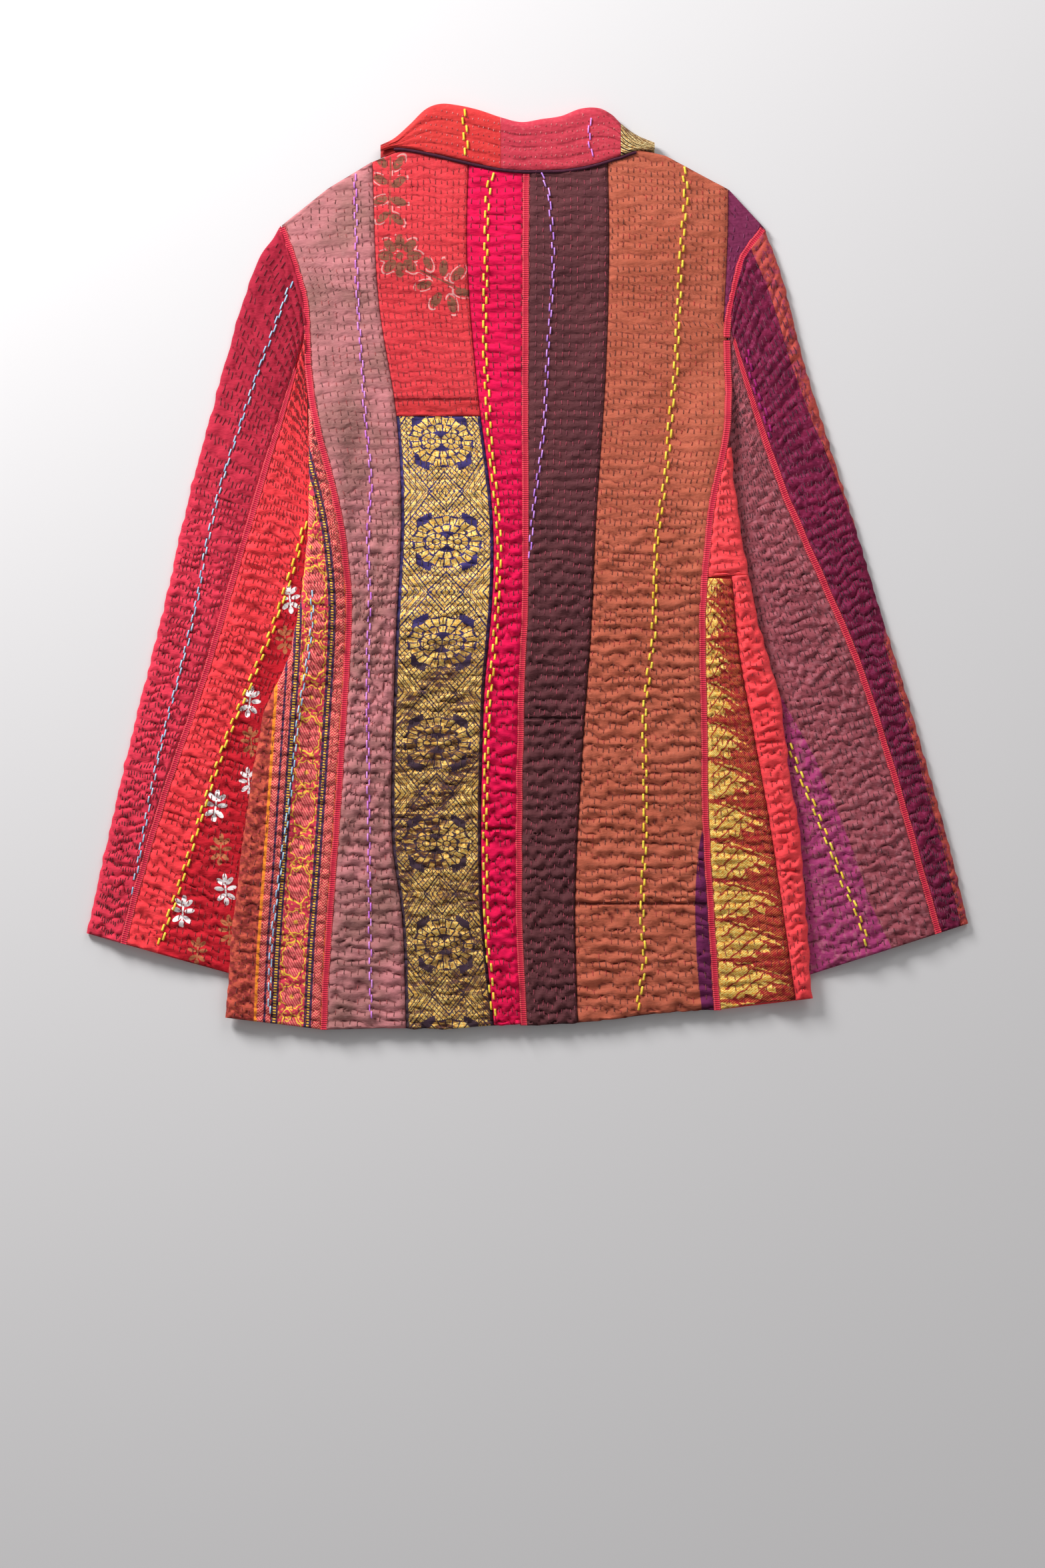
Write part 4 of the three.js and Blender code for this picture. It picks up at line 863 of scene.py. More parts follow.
    def border(self, paint: Paint, a: Val, b: Val) -> Socket:
        """A sari border: roses and fans on yellow between fine bands, seen from its seam outwards."""
        navy, yellow, crimson = "#382e4c", "#ffce48", "#d83e54"
        orange, pink = "#ff962c", "#fc9c82"
        slant = abs((a / 4.2).fract() - 0.5) * 2.6
        zigzag = (((b + slant * 2) / 2.4).fract() < 0.42)
        chevron = paint.mix(zigzag, "#ce3848", pink)
        ticks = paint.mix(((b / 2.3).fract() < 0.5), navy, yellow)
        p = (b - 200).centred(62)
        fan = 31 - abs(p)
        q = a - 27.6
        rose = q.length(p) + (p.angle(q) * 9).sin() * 0.7
        rose_line = rose.between(8.7, 9.7).high(rose < 1.5)
        plume = q.length(fan * 0.62)
        fans = (plume + (fan.angle(q) * 10).sin() * 0.6).between(8.8, 9.8)
        scroll = (abs((q * 0.5).sin() * 3.2 - abs(p - 15.5) + 2) < 0.6)
        spots = paint.noise(2.6, 1).rise(0.55, 0.6) * (rose > 10.4) * (plume > 10.4)
        drawn = rose_line.high(fans).high(scroll).high(spots * 0.85)
        hatch = (((q + p * 0.6) / 2.2).fract() < 0.5) * (rose < 8.4).high((plume < 8.4))
        field_colour = paint.mix(hatch * 0.75, crimson, pink)
        field_colour = paint.mix(drawn, field_colour, yellow)
        bands = [(3, 10.5, chevron), (10.5, 12.6, navy), (12.6, 14.6, ticks), (14.6, 16.8, navy),
                 (16.8, 38.5, field_colour), (38.5, 40.2, navy), (40.2, 42.6, ticks),
                 (42.6, 44.4, navy), (44.4, 48.4, chevron), (48.4, 50.2, navy),
                 (50.2, 55.5, chevron), (55.5, 58.0, orange)]
        colour = paint.mix(paint.noise(5, 2).rise(0.4, 0.62), "#8a322a", "#d05c46")
        for low, high, band in bands:
            colour = paint.mix(a.between(low, high), colour, band)
        colour = paint.mix((a < 3.0), colour, orange)
        thread = ((a / 0.9).sin() * (b / 0.8).sin()).rise(-0.4, 0.9)
        return paint.mix(thread * 0.2, colour, crimson)

    def floral(self, paint: Paint, ground: Socket, specks: Val) -> Socket:
        """Taupe block-printed flowers and leaves, and a plain band below them."""
        motif = paint.field("motif").rise(-0.25, 0.35) * specks.rise(0.28, 0.44)
        outline = paint.field("motif").between(-1.5, -0.6) * paint.noise(11, 1).between(0.53, 0.75)
        band = paint.field("zone").rise(-0.3, 0.3)
        colour = paint.mix(band * 0.7, ground, self.second)
        colour = paint.mix(motif * 0.92, colour, "#7e5440")
        return paint.mix(outline * 0.45, colour, "#e8d6ce")

    def sprigs(self, paint: Paint, ground: Socket, specks: Val) -> Socket:
        """Small printed sprigs, white or faded brown, on a second red."""
        x, y = paint.field("stamp_x"), paint.field("stamp_y")
        zone = paint.field("zone").rise(-0.3, 0.3)
        print_on = (abs(x) < 0.7) * y.between(-8.5, 4.5)
        for side in (-1, 1):
            for place_x, place_y, tilt, long, wide in (
                    (3.7, 6.4, 0.75, 4.0, 1.9), (5.2, 0.6, 0.2, 3.9, 1.85), (4.0, -6.4, -0.65, 4.0, 1.95)):
                along, across = turned(x * side, y, (place_x, place_y), tilt)
                print_on = print_on.high((along / long).length(across / wide) < 1)
        print_on = print_on.high((x / 1.9).length((y - 9.2) / 3.8) < 1)
        print_on = print_on.high((x / 2.1).length((y + 10.4) / 3.2) < 1)
        near = paint.field("stamp_near").rise(0.4, 0.6)
        kind = paint.field("stamp_kind").rise(0.4, 0.6)
        mask = print_on * near * specks.rise(0.24, 0.36)
        colour = paint.mix(zone, ground, self.second)
        ink = paint.mix(kind, "#fffafa", "#c48054")
        return paint.mix(mask * zone * (1 - kind * 0.2), colour, ink)

    def printed(self, paint: Paint, ground: Socket) -> Socket:
        """A small all-over print with a second cloth beside it."""
        zone = paint.field("zone").rise(-0.3, 0.3)
        spots = paint.noise(3.6, 3, (1, 0.7, 1)).rise(0.5, 0.62)
        deep = paint.noise(5.0, 2, (1, 0.6, 1)).rise(0.52, 0.66)
        colour = paint.mix(zone, ground, self.second)
        colour = paint.mix(spots * self.speckle, colour, self.light)
        return paint.mix(deep * self.speckle, colour, self.dark)

    def collar_gold(self, paint: Paint, a: Val, b: Val) -> tuple[Socket, Val, Val]:
        """Gold brocade crossed by thin black lines."""
        tone = paint.noise(1.4, 2).rise(0.38, 0.62)
        gold = paint.mix(tone, "#c4924e", "#fae0a0")
        stripe = (((a * 0.9 + b) / 6.0).fract() < 0.3)
        thin = (((a * 0.9 + b) / 6.0 + 0.42).fract() < 0.1)
        cover = 1 - stripe.high(thin)
        return paint.mix(cover, "#2c1c22", gold), cover * 0.12, 0.76 - cover * 0.16


MAUVE = Cloth("mauve_cotton", "#c47b7f", "#946660", "#e2aaa8", blotch=0.9)
FLORAL = Cloth("floral_cotton", "#de3e46", "#cc3038", "#ec7876", Pattern.FLORAL, "#c43234")
BROCADE = Cloth("gold_brocade", "#c8963c", "#3c2d5a", "#ebbe50", Pattern.BROCADE)
CRIMSON = Cloth("crimson_cotton", "#e8084e", "#cc0640", "#f03268")
PLUM = Cloth("plum_cotton", "#623438", "#4e282e", "#845456")
RUST = Cloth("rust_cotton", "#c0644c", "#aa523a", "#da8c76", Pattern.MOTTLED, "#702454")
PURPLE = Cloth("purple_cotton", "#7e2c52", "#621a40", "#a05474")
BORDER = Cloth("paisley_border", "#a03e30", "#64201e", "#be5a3c", Pattern.BORDER)
# The coral gets less painted shade in its grooves
CORAL = Cloth("coral_cotton", "#ff4e54", "#f63840", "#ff7c74", groove=0.55)
LEAVES = Cloth("leaf_brocade", "#b82e2e", "#962226", "#ce5442", Pattern.LEAF)
FRONT = Cloth("front_cotton", "#7e3038", "#64242e", "#9c5456")
# The red sleeve is darker towards the top: partly its own tone, partly painted shade against the lamp's
# fall-off
RED_SLEEVE = Cloth("red_cotton", "#de364e", "#961630", "#e25c6a", blotch=0.3, upper_dark=0.8)
SPRIGS = Cloth("printed_red_cotton", "#fc424a", "#e6303a", "#fa746e", Pattern.SPRIG, "#ce1e2e")
RUST_SLEEVE = Cloth("printed_rust_cotton", "#821a42", "#540a2c", "#9c3860", Pattern.MOTTLED,
                    "#c05046", speckle=0.6)
WINE_SLEEVE = Cloth("wine_cotton", "#a6545e", "#7a3640", "#ba7680", Pattern.MOTTLED, "#ac3e74",
                    speckle=0.42)
COLLAR_RED = Cloth("orange_red_cotton", "#d43a38", "#ce2e34", "#f0786c")
COLLAR_ROSE = Cloth("rose_cotton", "#c73c4d", "#bc3246", "#ec9696")
COLLAR_GOLD = Cloth("collar_brocade", "#be8c3c", "#281a1e", "#e6be5a", Pattern.COLLAR_GOLD)
PIPING = Cloth("dark_piping", "#4a1e32", "#301022", "#6e3c50")
DARK_THREAD = "#601824"
TAPE = Cloth("coral_tape", "#ee3852", "#9e1632", "#fa7670", Pattern.TAPE)


def kantha(cloth: Cloth, main: Colour, second: Colour) -> Cloth:
    """Thread for a cloth, in two colours."""
    deep = tuple(0.6 * part for part in light(main))
    return Cloth(cloth.slot, main, deep, main, Pattern.THREAD, second)


def placed(name: str, data: bpy.types.ID) -> Piece:
    """Puts a mesh, a light or a camera in the scene."""
    made = bpy.data.objects.new(name, data)
    bpy.context.scene.collection.objects.link(made)
    return made


def new_mesh(name: str, points: Array, faces: list[list[int]], fields: dict[str, Array],
             uv: Array | None = None, sharp: float = 55) -> Piece:
    """Makes an object from points in millimetres.

    Args:
        name: The object's name.
        points: One row for each point.
        faces: Lists of point numbers.
        fields: Numbers kept for each point, by name.
        uv: The place of each point on the cloth, in millimetres.
        sharp: Edges sharper than this many degrees stay hard.

    Returns:
        The object, in the scene.
    """
    mesh = bpy.data.meshes.new(name)
    mesh.from_pydata((points * MM).tolist(), [], faces)
    if uv is not None:
        layer = mesh.uv_layers.new(name="cloth")
        corner = np.empty(len(mesh.loops), dtype=np.int32)
        mesh.loops.foreach_get("vertex_index", corner)
        layer.data.foreach_set("uv", (uv[corner] * MM).astype(np.float32).ravel())
    for key, values in fields.items():
        data = mesh.attributes.new(key, "FLOAT", "POINT").data
        data.foreach_set("value", values.astype(np.float32).ravel())
    mesh.shade_smooth()
    mesh.set_sharp_from_angle(angle=math.radians(sharp))
    return placed(name, mesh)


def picks(count: int, step: int) -> Array:
    """Every step-th number up to count, with the last one."""
    return np.unique(np.append(np.arange(0, count, step), count - 1))


def closed_shell(name: str, outer: Array, inner: Array, rows: Array, columns: Array, uv: Array,
                 fields: dict[str, Array]) -> Piece:
    """Joins a fine outer face and a coarse inner face along their rims.

    Args:
        name: The object's name.
        outer: Rows, columns and the three sides of each outer point.
        inner: The same for the picked rows and columns of the inner face.
        rows: Which outer rows the inner ones match.
        columns: Which outer columns the inner ones match.
        uv: The cloth place of each outer point.
        fields: Numbers for each outer point.

    Returns:
        A closed wall of cloth.
    """
    tall, wide = outer.shape[:2]
    low, narrow = inner.shape[:2]
    face = np.arange(tall * wide).reshape(tall, wide)
    deep = tall * wide + np.arange(low * narrow).reshape(low, narrow)
    quads = np.stack((face[:-1, :-1], face[1:, :-1], face[1:, 1:], face[:-1, 1:]), -1).reshape(-1, 4)
    backs = np.stack((deep[:-1, :-1], deep[:-1, 1:], deep[1:, 1:], deep[1:, :-1]), -1).reshape(-1, 4)
    faces = quads.tolist() + backs.tolist()
    for i, (start, end) in enumerate(zip(columns[:-1], columns[1:])):
        faces.append([*face[0, start:end + 1].tolist(), int(deep[0, i + 1]), int(deep[0, i])])
        faces.append([*face[-1, start:end + 1][::-1].tolist(), int(deep[-1, i]), int(deep[-1, i + 1])])
    for i, (start, end) in enumerate(zip(rows[:-1], rows[1:])):
        faces.append([*face[start:end + 1, 0][::-1].tolist(), int(deep[i, 0]), int(deep[i + 1, 0])])
        faces.append([*face[start:end + 1, -1].tolist(), int(deep[i + 1, -1]), int(deep[i, -1])])
    points = np.concatenate((outer.reshape(-1, 3), inner.reshape(-1, 3)))
    first, second, third = (points[quads[:, k]] for k in range(3))
    upward = np.cross(second - first, third - first)[:, 2].sum()
    if upward < 0:
        faces = [loop[::-1] for loop in faces]
    picked = np.ix_(rows, columns)
    every = {key: np.concatenate((value.ravel(), value[picked].ravel())) for key, value in fields.items()}
    places = np.concatenate((uv.reshape(-1, 2), uv[picked].reshape(-1, 2)))
    return new_mesh(name, points, faces, every, places)


def flat_size(points: Array, level: bool = False) -> tuple[float, float, float]:
    """The cut of a cloth that lies as these rows and columns of points.

    Args:
        points: Rows, columns and three sides, smooth and without quilting.
        level: Whether the piece lies flat, so that its cut is as wide as it is.

    Returns:
        Its width, length and area in metres.
    """
    across = np.linalg.norm(np.diff(points, axis=1), axis=2).sum(1).max()
    along = np.linalg.norm(np.diff(points, axis=0), axis=2).sum(0).max()
    if level:
        across, along = np.ptp(points[..., 0]), np.ptp(points[..., 1])
    one = points[1:, :-1] - points[:-1, :-1]
    two = points[:-1, 1:] - points[:-1, :-1]
    area = np.linalg.norm(np.cross(one, two), axis=2).sum()
    return across * MM, along * MM, area * MM * MM


def attach(made: Piece, name: str, cloth: Cloth, *nodes: str) -> Piece:
    """Gives a piece its material and its body, and hides the solids that it stands for."""
    made.data.materials.append(cloth.material(name))
    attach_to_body(made, "root")
    if nodes:
        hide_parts(*nodes)
    return made


def declare(made: Piece, name: str, face: Array, level: bool,
            rests_on: Sequence[str]) -> Piece:
    """Logs the cut of a piece.

    Args:
        made: The piece.
        name: Its name in the log.
        face: Its outer points without quilting.
        level: Whether it lies flat, so that its cut is as wide as it is.
        rests_on: What it lies on; not used.

    Returns:
        The piece.
    """
    width, length, area = flat_size(face, level)
    list(rests_on)
    logging.info("%s: cut %.0f by %.0f mm, %.4f square metres, %d faces", name,
                 width / MM, length / MM, area, len(made.data.polygons))
    return made


@dataclass
class Panel:
    """A cloth piece that is placed by two shares: u across its upper side and v down it."""

    name: str
    node: str
    cloth: Cloth
    threads: tuple[Colour, Colour]
    quilt: Quilt
    zone: Curve | None = field(default=None, kw_only=True)
    seams: tuple[float, ...] = field(default=(), kw_only=True)
    row_step: float = field(default=1.35, kw_only=True)
    column_step: float = field(default=2.3, kw_only=True)

    def place(self, u: Array, v: Array) -> tuple[Array, Array]:
        """Where a share of the piece lies on the surface."""
        raise NotImplementedError

    def cloth_place(self, u: Array, v: Array) -> tuple[Array, Array]:
        """Millimetres across and along the cloth."""
        raise NotImplementedError

    def share_down(self, u: Array, along: Array) -> Array:
        """The share v at a distance along the cloth."""
        raise NotImplementedError

    def rim(self, u: Array, v: Array) -> Array:
        """How far inside its seams a place lies."""
        raise NotImplementedError

    def base(self, u: Array, v: Array) -> Array:
        """Height of the upper face without quilting."""
        raise NotImplementedError

    def columns(self) -> Array:
        """The shares across at which lines of kantha stitches run."""
        raise NotImplementedError

    def extra(self, x: Array, y: Array) -> dict[str, Array]:
        """More numbers for the points of this piece."""
        return {"zone": self.zone(x, y) if self.zone else np.full(x.shape, NO_ZONE)}

    def flat_beside(self, u: Array, v: Array) -> Array:
        """0 where the cloth stays flat below a tape, 1 elsewhere."""
        return np.ones(np.broadcast(u, v).shape)

    def puff(self, u: Array, v: Array) -> Array:
        """0 in the grooves and seams, 1 on top of a puff."""
        ridge = self.quilt.ridge(*self.cloth_place(u, v)) * smooth((self.rim(u, v) + 1.2) / 2.8)
        y = self.place(u, v)[1]
        for seam in self.seams:
            ridge = ridge * smooth(np.abs(y - seam) / 2.4)
        return ridge

    def height(self, u: Array, v: Array) -> Array:
        """Height of the quilted upper face."""
        x, y = self.place(u, v)
        a, b = self.cloth_place(u, v)
        soft = Wander(self.quilt.seed + 11, 70)(x, y) * 0.28
        rolled = 0.45 * (1 - smooth(self.rim(u, v) / 1.4))
        lifted = self.quilt.strength(b) * self.puff(u, v) * self.quilt.crest(a, b)
        lifted = lifted * self.flat_beside(u, v)
        inside = smooth(self.rim(u, v) / 9)
        return self.base(u, v) + lifted + (soft - LIE.creases(x, y)) * inside - rolled

    def dress(self, made: Piece, face: Array, rests_on: Sequence[str]) -> Piece:
        """Gives a shell its cloth and its body, and logs its cut as measured on its plain face."""
        attach(made, self.name, self.cloth, self.node)
        return declare(made, self.name, face, isinstance(self, Strip), rests_on)

    def stitches(self) -> Piece:
        """Kantha stitches: one from each groove a little way down, in every column."""
        shares = self.columns()
        middle = np.full_like(shares, 0.5)
        a = self.cloth_place(shares, middle)[0]
        first = float(self.cloth_place(shares, np.zeros_like(shares))[1].min())
        last = float(self.cloth_place(shares, np.ones_like(shares))[1].max())
        draw = np.random.default_rng(self.quilt.seed + 31)
        across, down = self.quilt.grooves(a, first, last)
        u = np.interp(across, *sorted_pair(a, shares))
        down = down + draw.normal(0, 0.35, down.shape)
        reach = KANTHA_LENGTH * draw.uniform(0.75, 1.25, down.shape)
        steps = KANTHA_STEPS
        along = down[:, None] + reach[:, None] * steps[None, :]
        slant = draw.normal(0, 0.02, down.shape)
        u4 = u[:, None] + np.zeros(len(steps))
        v4 = self.share_down(u4, along)
        inside = np.clip(v4, 0, 1)
        keep = (v4.min(1) > 0) & (v4.max(1) < 1) & (self.rim(u4, inside).min(1) > 1.6)
        keep &= draw.uniform(0, 1, down.shape) > 0.04
        u4, v4, slant = u4[keep], v4[keep], slant[keep]
        x, y = self.place(u4, v4)
        near = 0.9 / self.length
        spanned = (self.height(u4, v4 - near) + self.height(u4, v4 + near)) / 2
        z = np.maximum(self.height(u4, v4), spanned) + KANTHA_LIFT
        x = x + slant[:, None] * 20 * steps[None, :]
        work = ThreadWork(radius=0.4, sides=3)
        work.add(np.stack((x, y, z), -1), draw.uniform(0, 1, len(x)) ** 2)
        made = work.build(f"kantha_{self.name}", kantha(self.cloth, *self.threads))
        logging.info("%s: %d kantha stitches", self.name, len(x))
        return made


KANTHA_LENGTH = 4.0
KANTHA_STEPS = np.array([-0.1, 0.1, 0.35, 0.62, 0.88, 1.06])
KANTHA_LIFT = np.array([-0.5, 0.3, 0.34, 0.34, 0.3, -0.5])


def sorted_pair(keys: Array, values: Array) -> tuple[Array, Array]:
    """Two matching lists in the order of the first."""
    order = np.argsort(keys)
    return keys[order], values[order]


@dataclass
class ThreadWork:
    """Stitches gathered into one mesh. Each one is a short rounded stroke with sunk tips."""

    radius: float
    sides: int
    strokes: list[Array] = field(default_factory=list)
    tones: list[Array] = field(default_factory=list)

    def add(self, points: Array, tone: Array) -> None:
        """Adds strokes, given as stroke, station and side, and a tone for each."""
        self.strokes.append(points)
        self.tones.append(tone)

    def build(self, name: str, thread: Cloth) -> Piece:
        """Makes the mesh and dresses it."""
        points = np.concatenate(self.strokes)
        tone = np.concatenate(self.tones)
        count, stations = points.shape[:2]
        run = np.gradient(points, axis=1)
        side = np.cross(run, np.array([0.0, 0.0, 1.0]))
        side /= np.maximum(np.linalg.norm(side, axis=2, keepdims=True), 1e-9)
        turns = math.pi / 2 + np.arange(self.sides) * 2 * math.pi / self.sides
        rings = (points[:, 1:-1, None, :] + self.radius * (
            side[:, 1:-1, None, :] * np.cos(turns)[:, None]
            + np.array([0.0, 0.0, 0.85]) * np.sin(turns)[:, None]))
        ring_count = stations - 2
        per = 2 + ring_count * self.sides
        body = np.concatenate((points[:, :1], points[:, -1:], rings.reshape(count, -1, 3)), axis=1)
        faces: list[list[int]] = []
        for k in range(self.sides):
            nxt = (k + 1) % self.sides
            faces.append([0, 2 + nxt, 2 + k])
            last = 2 + (ring_count - 1) * self.sides
            faces.append([1, last + k, last + nxt])
            for ring in range(ring_count - 1):
                here = 2 + ring * self.sides
                there = here + self.sides
                faces.append([here + k, here + nxt, there + nxt, there + k])
        starts = np.arange(count) * per
        every: list[list[int]] = []
        for loop in faces:
            every += (starts[:, None] + np.array(loop)[None, :]).tolist()
        made = new_mesh(name, body.reshape(-1, 3), every, {"tone": np.repeat(tone, per)}, sharp=180)
        return attach(made, name, thread)


@dataclass
class Strip(Panel):
    """A strip of the back between two seams, from the top edge or a cross seam to the hem."""

    left: Curve
    right: Curve
    top: Curve = TOP_EDGE
    hem: Curve = HEM_EDGE
    ends: tuple[float, float, float, float] = (330, 330, -380, -380)
    layer: Curve = field(default=LIE.back, kw_only=True)
    taped: tuple[bool, bool] = field(default=(False, False), kw_only=True)

    def __post_init__(self) -> None:
        """Works out the strip's mean width and its ends."""
        left_top, right_top, left_hem, right_hem = self.ends
        u = np.linspace(0, 1, 201)
        top_x = lerp(self.left(left_top), self.right(right_top), u)
        hem_x = lerp(self.left(left_hem), self.right(right_hem), u)
        self.top_line = self.top(top_x)
        self.hem_line = self.hem(hem_x)
        y = np.linspace(left_hem, left_top, 60)
        self.width = float(np.mean(self.right(y) - self.left(y)))
        self.length = float(np.max(self.top_line - self.hem_line))
        self.shares = u

    def ends_at(self, u: Array) -> tuple[Array, Array]:
        """Upper and lower end of the strip at a share across it."""
        return np.interp(u, self.shares, self.top_line), np.interp(u, self.shares, self.hem_line)

    def place(self, u: Array, v: Array) -> tuple[Array, Array]:
        """Where a share of the strip lies."""
        top, hem = self.ends_at(u)
        y = lerp(top - HALF_GAP, hem + HALF_GAP, v)
        return lerp(self.left(y) + HALF_GAP, self.right(y) - HALF_GAP, u), y

    def cloth_place(self, u: Array, v: Array) -> tuple[Array, Array]:
        """Millimetres from the strip's middle and down from above the collar."""
        return (u - 0.5) * self.width + v * 0, ALONG_ZERO - self.place(u, v)[1]

    def share_down(self, u: Array, along: Array) -> Array:
        """The share v at a distance along the cloth."""
        top, hem = self.ends_at(u)
        return (top - (ALONG_ZERO - along)) / (top - hem)

    def rim(self, u: Array, v: Array) -> Array:
        """How far inside its seams a place lies."""
        top, hem = self.ends_at(u)
        y = self.place(u, v)[1]
        wide = self.right(y) - self.left(y)
        sides = np.minimum(u * wide, (1 - u) * wide)
        return np.minimum(sides, np.minimum(top - y, y - hem))

    def flat_beside(self, u: Array, v: Array) -> Array:
        """0 where the strip stays flat below a tape, 1 elsewhere."""
        y = self.place(u, v)[1]
        wide = self.right(y) - self.left(y)
        shown = np.ones(np.shape(wide))
        for is_taped, share in zip(self.taped, (u, 1 - u)):
            if is_taped:
                shown = shown * smooth((share * wide - 1.4) / 3.4)
        return shown

    def base(self, u: Array, v: Array) -> Array:
        """Height of the upper face without quilting."""
        x, y = self.place(u, v)
        return self.layer(x, y) + WALL

    def columns(self) -> Array:
        """The shares across at which lines of kantha stitches run."""
        count = max(int(self.width / COLUMN_STEP), 2)
        return (np.arange(count) + 0.5) / count

    def build(self, rests_on: Sequence[str]) -> Piece:
        """Makes the strip's shell and dresses it."""
        tall = int(self.length / self.row_step) + 1
        wide = int(self.width / self.column_step) + 2
        v, u = np.meshgrid(np.linspace(0, 1, tall), np.linspace(0, 1, wide), indexing="ij")
        x, y = self.place(u, v)
        outer = np.stack((x, y, self.height(u, v)), -1)
        plain = np.stack((x, y, self.base(u, v)), -1)
        rows, columns = picks(tall, INNER_ROWS), picks(wide, INNER_COLUMNS)
        inner = np.stack((x, y, self.layer(x, y)), -1)[np.ix_(rows, columns)]
        a, b = self.cloth_place(u, v)
        fields = {"puff": self.puff(u, v)}
        fields.update(self.extra(x, y))
        made = closed_shell(self.name, outer, inner, rows, columns, np.stack((a, b), -1), fields)
        return self.dress(made, plain, rests_on)


class FlowerStrip(Strip):
    """The red strip with a block-printed flower and sprays of leaves."""

    HEART = (-105.0, 256.0)
    PETALS = 8
    # Leaves of two sprays: x, y, direction in degrees, half length, half width
    LEAVES = [(-120, 334, 128, 6.5, 3.4), (-106, 333, 52, 6.5, 3.4), (-121, 319, 150, 6.5, 3.4),
              (-106, 317, 38, 6.8, 3.6), (-121, 302, 200, 6.2, 3.3), (-106, 301, -20, 6.8, 3.6),
              (-119, 288, 222, 6, 3.2), (-107, 286, -42, 6.2, 3.3),
              (-82, 250, 118, 6, 3.2), (-69, 246, 84, 6.8, 3.7), (-57, 241, 48, 7, 3.8),
              (-85, 232, 196, 6.6, 3.5), (-75, 220, 238, 7, 3.8), (-62, 216, 284, 7, 3.8),
              (-53, 226, -10, 6.6, 3.5)]
    STEMS = [(-113, 338, -113, 282), (-88, 244, -56, 229)]

    def extra(self, x: Array, y: Array) -> dict[str, Array]:
        """Adds the distance inside the printed motifs and below the band's top."""
        heart_x, heart_y = self.HEART
        away = np.hypot(x - heart_x, y - heart_y)
        sector = 2 * math.pi / self.PETALS
        turn = np.arctan2(y - heart_y, x - heart_x)
        turn = (turn + sector / 2) % sector - sector / 2
        along, across = away * np.cos(turn) - 11.6, away * np.sin(turn)
        motif = (1 - np.hypot(along / 6.4, across / 3.9)) * 3.9
        motif = np.maximum(motif, 3.1 - away)
        for stem in self.STEMS:
            motif = np.maximum(motif, 0.75 - beside_run(x, y, stem)[1])
        for leaf_x, leaf_y, degrees, long, wide in self.LEAVES:
            along, across = turned(x, y, (leaf_x, leaf_y), math.radians(degrees))
            motif = np.maximum(motif, (1 - np.hypot(along / long, across / wide)) * wide)
        return {"zone": BAND_TOP_Y - y, "motif": motif}


